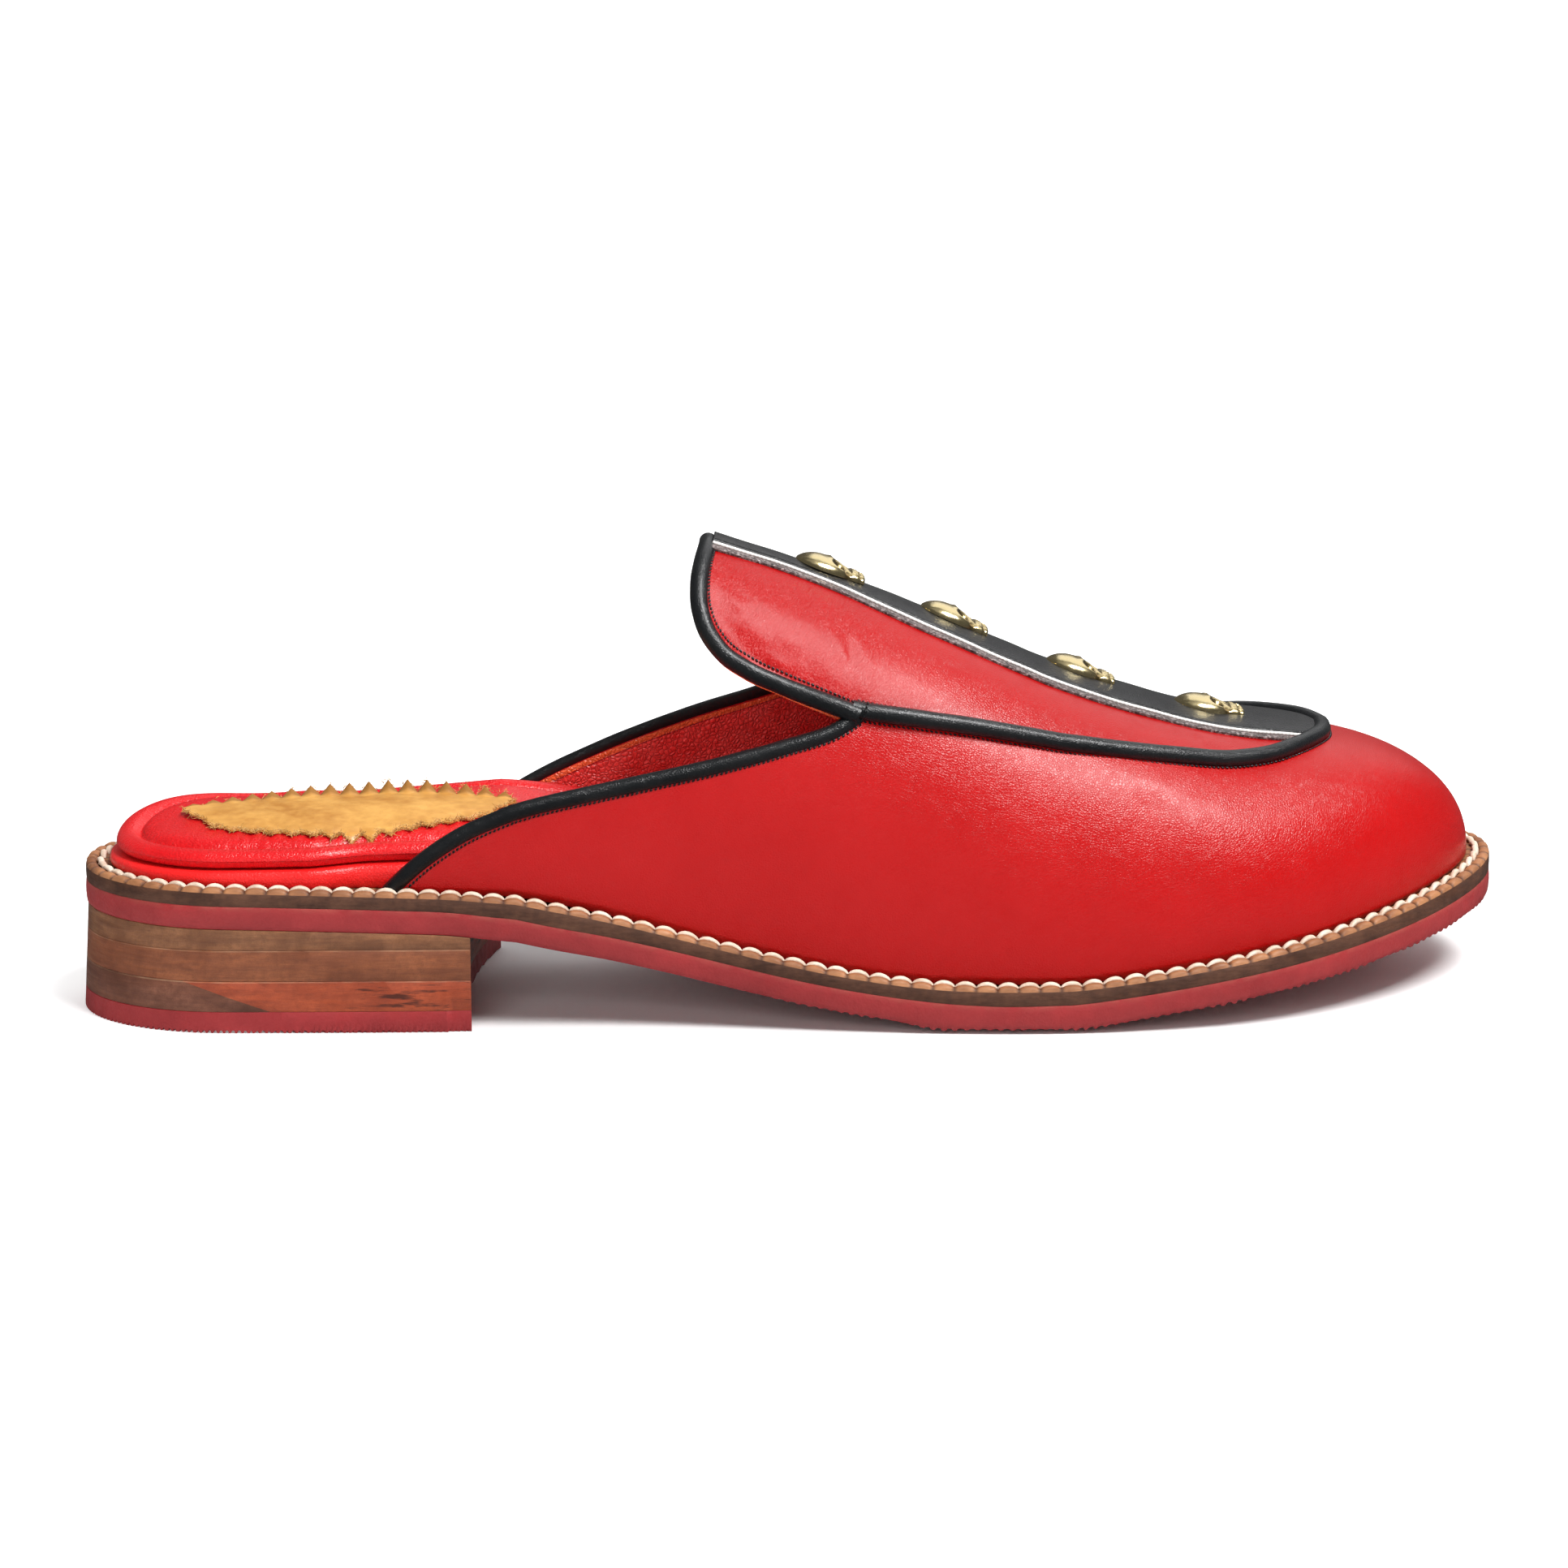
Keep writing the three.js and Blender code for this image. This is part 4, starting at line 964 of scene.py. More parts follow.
def bite_line(x, v, shift):
    """Even stitches beside an edge line, moved by shift towards its toe side: centres and axes."""
    path, normal = last(x, v), outward(x, v)
    tangent = unit(np.gradient(path, axis=0))
    across = unit(np.cross(tangent, normal))
    across = across * np.sign((across * (last(x + 0.5, v) - path)).sum())
    run = run_length(path)
    even = np.arange(1.0, run[-1] - 0.5, BITE["pitch"])
    path, tangent, across, normal = (np.stack([np.interp(even, run, part) for part in line.T], -1)
                                     for line in (path, tangent, across, normal))
    centre = path + across * shift + normal * BITE["lift"]
    slant = unit(tangent + BITE["slant"] * across)
    return centre, np.stack([slant, unit(np.cross(normal, slant)), unit(normal)], 1)


# %% Bite stitches
BESIDE = {"edge": 1.75, "bead": 1.8}
JOINT = {"ahead": 0.8, "up": 0.45, "radius": 1.75, "turn": (-0.15, 1.15), "count": 8}


def joint_stitches(side):
    """Stitches in a ring round the roll, where the bound throat meets the bead."""
    x, v = np.array(APRON[0, 0] + JOINT["ahead"]), np.array(side * APRON[0, 1])
    up, ahead = outward(x, v), unit(last(x + 0.5, v) - last(x - 0.5, v))
    across = np.cross(ahead, up)
    angle = np.linspace(*JOINT["turn"], JOINT["count"])[:, None] * np.pi
    spoke = across * np.cos(angle) + up * np.sin(angle)
    centre = last(x, v) + up * JOINT["up"] + spoke * JOINT["radius"]
    turn = up * np.cos(angle) - across * np.sin(angle)
    return centre, np.stack([turn, np.broadcast_to(ahead, turn.shape), spoke], 1)


lines = [bite_line(throat_x, throat_v, BESIDE["edge"])]
lines += [bite_line(bead_x, bead_v, shift) for shift in (BESIDE["bead"], -BESIDE["bead"])]
lines += [bite_line(*edge_line(rows, side, BITE["rows"]), BESIDE["edge"]) for _, rows, side in QUARTERS]
lines += [joint_stitches(side) for side in (LATERAL, MEDIAL)]
centres, frames = (np.concatenate(parts) for parts in zip(*lines))
radii = np.tile([BITE["long"], BITE["wide"], BITE["high"]], (len(centres), 1))
pebbles("bite_stitches", centres, frames, radii, BLACK)

# %% [markdown]
# ## Ribbon and cord
# Beside the strip lie a white cord and a ribbon of pewter thread. The thread's glitter is finer than a mesh
# can show, so it is a field of small cells with its own colour and shine in each.


# %% Ribbon finishes
def ribbon_glitter():
    """Metal thread: small cells from dark to bright, each with its own shine."""
    material, tree, shader, place = start_material("pewter_ribbon", Metallic=0.35)
    flecks = add(tree, "TexVoronoi", {"Vector": place, "Scale": 2600.0}).outputs
    stops = [(0.0, rgb(0.02, 0.015, 0.015)), (0.6, rgb(0.15, 0.11, 0.105)), (0.95, rgb(0.42, 0.35, 0.34))]
    shade = ramp(tree, flecks["Color"], stops)
    surface(tree, shader, shade, (flecks["Distance"], 0.25, 0.55), (flecks["Distance"], 0.5, 0.0003))
    return material


def cord_white():
    """White edging cord with a faint twist."""
    material, tree, shader, place = start_material("white_cord", Roughness=0.6)
    twist = add(tree, "TexWave", {"Vector": place, "Scale": 420.0, "Distortion": 1.5}).outputs["Fac"]
    shade = mix_colour(tree, twist, rgb(0.70, 0.66, 0.62), rgb(0.88, 0.86, 0.83))
    surface(tree, shader, shade, bump=(twist, 0.3, 0.0002))
    return material


PEWTER, WHITE = ribbon_glitter(), cord_white()
print("ribbon finishes:", PEWTER.name, WHITE.name)

# %% [markdown]
# ## Strip, ribbon and cord
# A raised black strip runs down the apron, edged on both sides by cord and ribbon. Each is a small outline
# carried along the ridge. Cutting them from the upper would leave hard steps; carried outlines stay round.

# %% Bands on the ridge
# Strip: x and half width
STRIP_WIDTH = np.array([
    (-18, 5.2), (-6, 5.4), (6, 7.0), (18, 9.6), (32, 11.0), (60, 12.2), (76, 11.4), (88, 11.2), (92, 10.4),
    (96.5, 6.0),
])
STRIP = {"thick": 1.3, "shoulder": 0.6, "crown": 0.2, "base": 0.1, "back": -17.0, "front": 91.0, "rows": 190}
TUCK = {"throat": 0.9, "toe": 0.2}


def beside_strip(x, share, offset):
    """The v of points at a share of the strip's half width, moved by an offset in millimetres."""
    return beside_ridge(x, share * along(STRIP_WIDTH, x, 1) + offset)


def ridge_band(name, profile, material, node):
    """A band on the upper: a profile of (share of the strip's half width, offset, height) carried along the
    ridge, each of its lines from the rolled edge of the throat to the bead at the toe."""
    share, offset, height = profile.T
    v_back, v_front = beside_strip(STRIP["back"], share, offset), beside_strip(STRIP["front"], share, offset)
    back = [np.interp(np.abs(v_back), edge[:, 1], edge[:, 0]) for edge in (THROAT_LATERAL, THROAT_MEDIAL)]
    start = np.where(v_back < 0, *back) + TUCK["throat"]
    end = np.interp(np.abs(v_front), APRON[::-1, 1], APRON[::-1, 0]) - TUCK["toe"]
    x = blend(start[None], end[None], np.linspace(0, 1, STRIP["rows"])[:, None])
    v = beside_strip(x, share, offset)
    sway = 0.05 * np.sin(x / 2.3) * np.sin(x / 7.9)
    points = last(x, v) + outward(x, v) * (height[None] + sway)[..., None]
    rows, columns = v.shape
    uv = np.stack(np.broadcast_arrays(x / 10, np.linspace(0, 1, columns)[None]), -1)
    piece = write_mesh(name, points, many_tubes(1, rows, columns), uv=uv)
    return dress(piece, [material], [node] if node else [])


# %% Strip, ribbon and cord
RIBBON = {"gap": 0.8, "width": 1.75, "thick": 0.6, "base": 0.05}
CORD = {"gap": 0.4, "radius": 0.3, "lift": 0.62, "sides": 10}


def strip_profile():
    """Closed outline of a flat strip with rounded shoulders and a slight crown, from one edge to the other."""
    turn, share = np.linspace(0, np.pi / 2, 6), np.linspace(0.9, 0, 9)
    r, top = STRIP["shoulder"], STRIP["thick"] - STRIP["crown"]
    shoulder = np.column_stack([np.ones_like(turn), r * (np.cos(turn) - 1), top - r + r * np.sin(turn)])
    face = np.column_stack([share, np.zeros_like(share), top + STRIP["crown"] * (1 - share ** 2)])
    half = np.concatenate([[[1.0, 0.0, STRIP["base"]]], shoulder, face])
    return np.concatenate([half, half[::-1][1:] * np.array([-1, -1, 1])])


def ribbon_profile(side):
    """Closed outline of the thin ribbon with a crowned top, on one side of the strip."""
    y = np.linspace(RIBBON["gap"], RIBBON["gap"] + RIBBON["width"], 7)
    high = RIBBON["thick"] * (0.75 + 0.25 * np.sin(np.linspace(0, np.pi, len(y))))
    top, low = np.column_stack([y, high]), np.column_stack([y, np.full_like(y, RIBBON["base"])])
    loop = np.concatenate([low, top[::-1]])[::side]
    return np.column_stack([np.full(len(loop), side), side * loop[:, 0], loop[:, 1]])


def cord_profile(side):
    """Closed circle on one side of the strip."""
    angle = circle(CORD["sides"])
    y, z = CORD["gap"] + CORD["radius"] * np.cos(angle), CORD["lift"] + CORD["radius"] * np.sin(angle)
    return np.column_stack([np.full(CORD["sides"], side), side * y, z])


ridge_band("apron_strip", strip_profile(), STRIP_BLACK, "centre_strip")
for name, _, side in QUARTERS:
    ridge_band(f"ribbon_{name}", ribbon_profile(side), PEWTER, f"piping_{name}")
    ridge_band(f"edging_cord_{name}", cord_profile(side), WHITE, None)


# %% [markdown]
# ## Gilt
# The studs are plated metal, bright on top and dark in the hollows, where the polish never reaches. The
# hollows are known from the formula, so each point carries the value and no dirt has to be painted.


# %% Gilt finish
def gilt():
    """Bright plated metal, darker in the hollows, with faint casting marks."""
    material, tree, shader, place = start_material("gold_metal", Metallic=1.0)
    shade = mix_colour(tree, point_value(tree, "hollow"), rgb(0.95, 0.78, 0.42), rgb(0.32, 0.19, 0.05))
    marks = noise(tree, place, 900.0, 3.0)["Fac"]
    surface(tree, shader, shade, (marks, 0.14, 0.34), (marks, 0.12, 0.0003))
    return material


GILT = gilt()
print("metal:", GILT.name)

# %% [markdown]
# ## Skull studs
# Four small skulls sit on the strip, brow towards the foot. They could be sculpted; here a skull is lofted
# from half-round sections, with eyes and nose pressed in as bells and grooves between the teeth.

# %% Skull form
# Sections of a skull: place along it, half width, height
SKULL = np.array([
    (-6.7, 0.2, 0.05), (-6.45, 1.5, 0.5), (-5.9, 2.7, 1.05), (-4.9, 3.9, 1.7), (-3.4, 4.8, 2.25),
    (-1.6, 5.1, 2.45), (0.2, 5.0, 2.3), (1.7, 4.5, 1.95), (2.9, 3.9, 1.6), (3.9, 3.8, 1.7), (5.4, 3.6, 1.6),
    (6.3, 3.0, 1.25), (6.8, 0.4, 0.3),
])
SKULL_GRID = {"rows": 60, "columns": 41, "half": 6.68, "sunk": 0.1, "dark": 0.8}
# Hollows of eyes, nose and cheeks: x, y, radius, depth
HOLLOWS = np.array([
    (0.9, 2.3, 1.2, 1.5), (0.9, -2.3, 1.2, 1.5), (2.5, 0.0, 0.65, 0.9),
    (2.6, 3.6, 0.7, 0.7), (2.6, -3.6, 0.7, 0.7),
])
TEETH = {"start": 3.9, "pitch": 1.05, "depth": 0.32, "half": 0.16}
# Grooves across the jaw: x, half width, depth
GROOVES = ((5.15, 0.17, 0.35), (3.5, 0.25, 0.3))
BROW = {"x": -0.5, "y": 1.75, "long": 0.5, "wide": 1.2, "high": 0.35}


def bell(x, middle, half):
    """Bell curve: 1 at the middle, falling off over the half width."""
    return np.exp(-((x - middle) / half) ** 2)


def skull(x_place):
    """Half-round sections along the skull; hollows are bells, the bite line and teeth are narrow grooves."""
    rows, columns = SKULL_GRID["rows"], SKULL_GRID["columns"]
    run = SKULL_GRID["half"] * -np.cos(np.linspace(0.02, np.pi - 0.02, rows))[:, None]
    turn = np.linspace(0, np.pi, columns)[None]
    half, high = along(SKULL, run, 1), along(SKULL, run, 2)
    x, y = np.broadcast_to(run, (rows, columns)), half * np.cos(turn)
    z = high * np.sin(turn) ** blend(0.85, 0.6, smooth(run, -3, 2))
    hollow = np.zeros_like(x)
    for hx, hy, radius, depth in HOLLOWS:
        hollow += depth * np.exp(-(((x - hx) ** 2 + (y - hy) ** 2) / radius ** 2) ** 1.6)
    gaps = np.mod(y + TEETH["pitch"] / 2, TEETH["pitch"]) - TEETH["pitch"] / 2
    hollow += TEETH["depth"] * bell(gaps, 0, TEETH["half"]) * smooth(x, TEETH["start"], TEETH["start"] + 0.4)
    hollow += sum(depth * bell(x, middle, wide) for middle, wide, depth in GROOVES)
    brow = BROW["high"] * bell(x, BROW["x"], BROW["long"]) * bell(np.abs(y), BROW["y"], BROW["wide"])
    z = np.maximum(z - hollow * np.sin(turn) + brow, 0.0)
    up = outward(x_place, 0.0)
    forward = unit(last(x_place + 1, 0.0) - last(x_place - 1, 0.0))
    seat = last(x_place, 0.0) + up * (STRIP["thick"] - SKULL_GRID["sunk"])
    points = seat + x[..., None] * forward + y[..., None] * np.cross(up, forward) + z[..., None] * up
    return points, np.clip(hollow / SKULL_GRID["dark"], 0, 1)


# %% Skull studs
STUD_X = (4.5, 27.5, 51.4, 76.1)
for number, place in enumerate(STUD_X, start=1):
    points, hollow = skull(place)
    rows, columns, _ = points.shape
    left = np.arange(rows) * columns
    right = left + columns - 1
    base = np.stack([left[:-1], right[:-1], right[1:], left[1:]], -1)[:, ::-1]
    faces = [*tube_faces(rows, columns, closed=False), *base, *end_caps(rows, columns)]
    piece = write_mesh(f"skull_stud_{number}", points, faces, values={"hollow": hollow})
    dress(piece, [GILT], [f"stud_{number}"])


# %% [markdown]
# ## Outline of the sole
# Outsole, welt and insole board follow one closed line round the shoe. Each could be cut from a thick
# plate; a profile carried along that line and closed by strips straight across keeps the edges parallel, as
# on a trimmed sole.


# %% Outline of the sole
def outline(inset_at, count):
    """Closed line round the sole: heel to toe on the outer side and back on the inner side, points closer at
    the ends. Gives its points, their outward directions and the run length."""
    from_x, to_x = -HALF + inset_at(np.array(-HALF)), HALF - inset_at(np.array(HALF))
    x = blend(from_x, to_x, 0.5 - 0.5 * np.cos(np.linspace(0, np.pi, count)))
    lateral, medial, _, _ = sides(x, inset_at(x))
    ring = np.column_stack([np.concatenate([x, x[-2:0:-1]]), np.concatenate([lateral, medial[-2:0:-1]])])
    tangent = unit(np.roll(ring, -1, axis=0) - np.roll(ring, 1, axis=0))
    out = np.column_stack([tangent[:, 1], -tangent[:, 0]])
    return ring, out, run_length(ring)


def across_faces(count, start, flip):
    """Strips straight across a closed outline of 2 * count - 2 points."""
    total = 2 * count - 2
    i = np.arange(1, count - 2)
    strips = np.stack([i, i + 1, total - i - 1, total - i], -1)
    tips = [np.array([0, 1, total - 1]), np.array([count - 2, count - 1, count])]
    return [start + (face[::-1] if flip else face) for face in (*strips, *tips)]


def carried(name, count, inset_at, profile, kinds=None, sharp=True):
    """A profile carried round the sole. profile(x, run) gives (outwards, height) rows from the top inside,
    round the edge, to the bottom inside; both faces are closed straight across."""
    ring, out, run = outline(inset_at, count)
    outwards, height = profile(ring[:, 0], run)
    rows, columns = height.shape
    plan = ring[None] + out[None] * outwards[..., None]
    points = np.concatenate([plan, height[..., None]], -1)
    faces = [*tube_faces(rows, columns)[:, ::-1], *across_faces(count, 0, False),
             *across_faces(count, (rows - 1) * columns, True)]
    uv = np.stack(np.broadcast_arrays(run[None] / 100, np.linspace(0, 1, rows)[:, None]), -1)
    if kinds is not None:
        flat = np.full(len(faces) - (rows - 1) * columns, kinds[-1])
        kinds = np.concatenate([np.repeat(kinds, columns), flat])
    return write_mesh(name, points, faces, kinds, sharp=sharp, uv=uv)


print("length round the sole:", round(outline(np.zeros_like, 400)[2][-1]), "mm")

# %% [markdown]
# ## Sole and welt finishes
# The outsole is dull red and a little scuffed, the welt is cut brown leather. Noise gives the stains, and
# the run along the edge, kept in the UV map, paints shade into the welt's pressed notch at every needle hole.

# %% Sole finishes
STITCH = {"pitch": 3.79, "out": -2.4, "up": -0.45, "arc": 1.15, "radius": 0.6, "ring": 1600}


def sole_red():
    """Dull burgundy sole edge: mottled, with a faintly scuffed line below its upper rim."""
    material, tree, shader, place = start_material("sole_red")
    fine = mottle(tree, place, 420.0)
    shade = mix_colour(tree, mottle(tree, place, 55.0), rgb(0.25, 0.013, 0.015), rgb(0.33, 0.020, 0.022))
    shade = stained(tree, shade, fine, 0.25, rgb(0.20, 0.018, 0.02))
    top_line = ranged(tree, pattern_axis(tree, "Y"), (0.34, 0.24))
    shade = stained(tree, shade, times(tree, top_line, fine), 0.15, rgb(0.50, 0.20, 0.12))
    surface(tree, shader, shade, (fine, 0.46, 0.66), (fine, 0.2, 0.0003))
    return material


def welt_brown(name, dark, light, size, scallops=False):
    """Cut leather edge: mottled browns with fine fibres. Scallops get painted shade in each needle-hole notch.
    """
    material, tree, shader, place = start_material(name)
    fibre = fibres(tree, place, 0.25)
    shade = mix_colour(tree, mottle(tree, place, size), dark, light)
    shade = stained(tree, shade, fibre, 0.45, scaled(dark, 0.5, 0.5, 0.5))
    if scallops:
        # Painted shade in the pressed notch between two scallops, at every needle hole
        turn = times(tree, pattern_axis(tree, "X"), 100 * np.pi / STITCH["pitch"])
        wave = math_node(tree, "ABSOLUTE", math_node(tree, "SINE", turn))
        shade = mix_colour(tree, ranged(tree, wave, (0.5, 0.05), (0.0, 0.8)), shade, rgb(0.035, 0.010, 0.005))
    surface(tree, shader, shade, (fibre, 0.5, 0.75), (fibre, 0.3, 0.0003))
    return material


SOLE_RED = sole_red()
WELT_SIDE = welt_brown("welt_side", rgb(0.060, 0.021, 0.010), rgb(0.120, 0.046, 0.022), 150.0)
WELT_LIP = welt_brown("welt_lip", rgb(0.22, 0.080, 0.030), rgb(0.48, 0.21, 0.085), 60.0, scallops=True)
print("sole finishes:", [m.name for m in (SOLE_RED, WELT_SIDE, WELT_LIP)])

# %% [markdown]
# ## Outsole
# A stiff plate with a waist, a flat tread and a toe spring. Its tread shows only as small blocks along the
# edge, so just the lowest line of the profile is cut by a wave; a full tread would never be seen.

# %% Outsole
OUTSOLE_COUNT = 1300
SEAM = 0.02
BLOCK = {"pitch": 1.9, "high": 0.45}
STANDS = {"from": (8, 20), "to": (44, 60)}
# Side of the outsole: share of its height from the top, bulge in millimetres
SOLE_SIDE = np.array([
    (0.0, -0.06), (0.08, 0.04), (0.3, 0.12), (0.55, 0.14), (0.8, 0.08), (0.94, 0.0), (1.0, -0.25),
])


def tread_blocks(run):
    """Ends of the fine tread along the edge: a wave cut off below, uneven from block to block."""
    wave = np.sin(2 * np.pi * run / BLOCK["pitch"] + 1.5 * np.sin(run / 6.1))
    return BLOCK["high"] * smooth(wave, -0.2, 0.5) * (0.55 + 0.45 * np.sin(run / 2.7) * np.sin(run / 9.3))


def tread_flat(x):
    """1 on the flat tread that stands on the floor, 0 away from it."""
    return smooth(x, *STANDS["from"]) * (1 - smooth(x, *STANDS["to"]))


def outsole_profile(x, run):
    """Flat top, slightly bulged side, a lifted edge with tread blocks under the forepart and a flat bottom."""
    rise, low = true_line(x), sole_bottom(x)
    top = outsole_top(x) + rise - SEAM
    low = low + np.maximum(rise, -low) * (1 - tread_flat(x))
    lifted = low + EDGE_LIFT["rise"] * fore_share(x)
    side_z = blend(top[None], lifted[None], SOLE_SIDE[:, :1])
    side_z[-1] -= tread_blocks(run) * fore_share(x)
    outwards = np.concatenate([[-8.0, -0.9], SOLE_SIDE[:, 1], [-1.2, -EDGE_LIFT["run"], -8.0]])
    height = np.concatenate([[top, top], side_z, [blend(lifted, low, 0.25), low, low]])
    return outwards[:, None] * np.ones_like(x), height


sole = carried("sole", OUTSOLE_COUNT, np.zeros_like, outsole_profile)
dress(sole, [SOLE_RED], ["outsole"])

# %% [markdown]
# ## Welt
# The welt is the ledge that carries the stitches. The thread presses its edge into scallops, so the lip of
# its profile swells and falls with the run along the edge. A bump would not show on the outline.

# %% Welt with scallops
LIP = {"width": 1.9, "high": 0.95, "out": 0.25, "rows": 9}
WELT_COUNT = 1100
WELT_LEDGE = np.array([(-9.0, -0.25), (-4.3, -0.25), (-3.7, 0.0), (-2.2, 0.0)])
WELT_OUT = np.array([0.3, 0.33, 0.3, 0.24, -9.0])


def hump(run):
    """1 in the middle of every stitch, 0 at its holes: a flattened sine with narrow notches."""
    return np.abs(np.sin(np.pi * run / STITCH["pitch"])) ** 0.42


def welt_inset(x):
    """Distance of the welt's edge from the outline of the sole."""
    return np.full_like(x, WELT["inset"])


def welt_profile(x, run):
    """Inner ledge, groove for the thread, scalloped lip as half an ellipse, upright side and flat bottom."""
    one = np.ones_like(x)
    top, low = welt_top(x) + WELT_SHARE * true_line(x), outsole_top(x) + true_line(x) + SEAM
    swell = blend(0.1, 1.0, hump(run))
    turn = np.linspace(np.pi, 0, LIP["rows"])[:, None]
    lip_out = LIP["out"] - LIP["width"] / 2 * (1 - np.cos(turn)) * one
    lip_up = LIP["high"] * swell * np.sin(turn) ** 0.8
    side_z = np.stack([top - 0.12, blend(top, low, 0.5), blend(top, low, 0.92), low, low])
    outwards = np.concatenate([WELT_LEDGE[:, :1] * one, lip_out, WELT_OUT[:, None] * one])
    return outwards, np.concatenate([top + WELT_LEDGE[:, 1:] * one, top + lip_up, side_z])


welt_kinds = np.repeat([1, 0], [len(WELT_LEDGE) + LIP["rows"] - 1, len(WELT_OUT)])
welt = carried("welt_plate", WELT_COUNT, welt_inset, welt_profile, welt_kinds)
dress(welt, [WELT_SIDE, WELT_LIP], ["welt"])

# %% [markdown]
# ## Welt stitches
# Every stitch is a short plump cord of waxed thread that dips into the leather at both ends. Instances on a
# curve would do as well; one array of equal tubes, set at equal steps along the same line, stays one piece.


# %% Thread finish and stitches
def thread():
    """Waxed cream thread, a little darker in patches."""
    material, tree, shader, place = start_material("cream_thread", Roughness=0.5)
    patch = mottle(tree, place, 260.0)
    shade = mix_colour(tree, patch, rgb(0.55, 0.40, 0.29), rgb(0.82, 0.70, 0.58))
    surface(tree, shader, shade, bump=(patch, 0.3, 0.0002))
    return material


def welt_stitches(rows=11, columns=8):
    """One cord per pitch: its centre rises on a flattened sine between two holes and slants a little outwards;
    its radius swells in the middle."""
    ring, out, run = outline(welt_inset, STITCH["ring"])
    count = int(run[-1] // STITCH["pitch"])
    t = np.linspace(0, 1, rows)
    at = np.mod((np.arange(count)[:, None] + blend(0.0, 1.03, t)[None]) * STITCH["pitch"], run[-1])
    x, y, nx, ny = (np.interp(at, run, column) for column in (*ring.T, *out.T))
    arc = np.sin(np.pi * blend(0.02, 0.98, t)) ** 0.5
    offset = STITCH["out"] + blend(0.25, -0.2, t)
    z = welt_top(x) + WELT_SHARE * true_line(x) + STITCH["up"] + STITCH["arc"] * arc
    centre = np.stack([x + nx * offset, y + ny * offset, z], -1)[:, :, None]
    radius = (STITCH["radius"] * blend(0.6, 1.0, arc))[None, :, None]
    angle = circle(columns)
    side = np.stack([nx, ny, np.zeros_like(nx)], -1)[:, :, None]
    points = (centre + side * (radius * np.cos(angle))[..., None] * 1.05
              + np.array([0, 0, 1.0]) * (radius * np.sin(angle))[..., None] * 0.85)
    return write_mesh("welt_stitches", points, many_tubes(count, rows, columns), sharp=False)


dress(welt_stitches(), [thread()])

# %% [markdown]
# ## Stacked heel
# The heel is built of lifts: a seat lift, a middle lift, a base lift scarfed from two pieces, and a red top
# piece on the floor. Each lift is a loft of level outlines with softened rims, so thin shadow lines show
# between the layers. Bevelled boxes would miss the hollow front.

# %% Heel sizes
HEEL = {"inset": 0.0, "lateral": -63.0, "medial": -55.0, "hollow": 3.0, "joint": 24, "cap": 3.0, "rim": 0.09}
LEVELS = {"top_piece": 3.85, "base": 9.35, "middle": 15.0}


def breast_line(t):
    """Front of the heel from the lateral to the medial corner: a chord hollowed by a parabola."""
    low = sides(np.array(HEEL["lateral"]), HEEL["inset"])[0]
    high = sides(np.array(HEEL["medial"]), HEEL["inset"])[1]
    x = blend(HEEL["lateral"], HEEL["medial"], t) - HEEL["hollow"] * 4 * t * (1 - t)
    return np.column_stack([x, blend(low, high, t)])


def side_run(x, which):
    """Points of one heel side at the places x."""
    return np.column_stack([x, sides(x, HEEL["inset"])[which]])


def heel_ring(back, front, steps):
    """Closed outline from the back to the front of a lift. back and front are x places, or None for the round
    end and for the hollow breast."""
    start = -HALF + HEEL["inset"] if back is None else back
    spread = 1 - np.cos(np.linspace(0, np.pi / 2, steps)) if back is None else np.linspace(0, 1, steps)
    ends = (HEEL["lateral"], HEEL["medial"]) if front is None else (front, front)
    lateral, medial = (side_run(blend(start, end, spread), which) for which, end in enumerate(ends))
    joint = np.linspace(0, 1, HEEL["joint"])[1:-1]
    nose = breast_line(joint) if front is None else blend(lateral[-1], medial[-1], joint[:, None])
    tail = np.zeros((0, 2)) if back is None else blend(medial[0], lateral[0], joint[:, None])
    return np.concatenate([lateral, nose, medial[::-1] if back is not None else medial[:0:-1], tail])


print("heel levels:", LEVELS)

# %% Lift helper
FLARE = {"share": 0.014, "behind": HEEL["lateral"] - 4}
NOTCH_PITCH = 1.05
# Rows of a lift: shift upwards and inwards in rims, share of its height, share of the tread's notches
LIFT_ROWS = ((0, None, 0.0, 0.0), (0, 1, 0.0, 1.0), (1, 0, 0.0, 0.8), (0, 0, 0.5, 0.0), (-1, 0, 1.0, 0.0),
             (0, 1, 1.0, 0.0), (0, None, 1.0, 0.0))


def lift_piece(name, low_at, high_at, material, node, back_at=None, front_at=None, steps=70, tread=0.0):
    """A lift from its level outlines: rows run from the middle of the bottom round the softened rim to the top.
    tread cuts fine notches of that depth into the lower rim."""
    rings = []
    for up, inwards, share, notch in LIFT_ROWS:
        ring = heel_ring(back_at and back_at(share), front_at and front_at(share), steps)
        pull = unit(ring.mean(axis=0) - ring) * (HEEL["cap"] if inwards is None else inwards * HEEL["rim"])
        cut = smooth(np.sin(2 * np.pi * run_length(ring) / NOTCH_PITCH), -0.1, 0.6)
        z = blend(low_at(ring[:, 0]), high_at(ring[:, 0]), share) + up * HEEL["rim"]
        flare = FLARE["share"] * (1 - z / SEAT["z"]) * (ring[:, 0] < FLARE["behind"])
        ring = ring + (ring - (HEEL["medial"], 0.0)) * flare[:, None]
        rings.append(np.column_stack([ring + pull, z + tread * notch * cut]))
    rows, columns, _ = np.shape(rings)
    faces = many_tubes(1, rows, columns)
    uv = np.full((rows * columns, 2), 0.5)
    return dress(write_mesh(name, np.array(rings), faces, uv=uv), [material], [node])


# %% [markdown]
# ## Heel finishes
# Cut leather shows its fibres along the edge, stained and waxed; dark polish smudges the base lift.
# Stretched noise gives all of it, and one function makes the four browns.

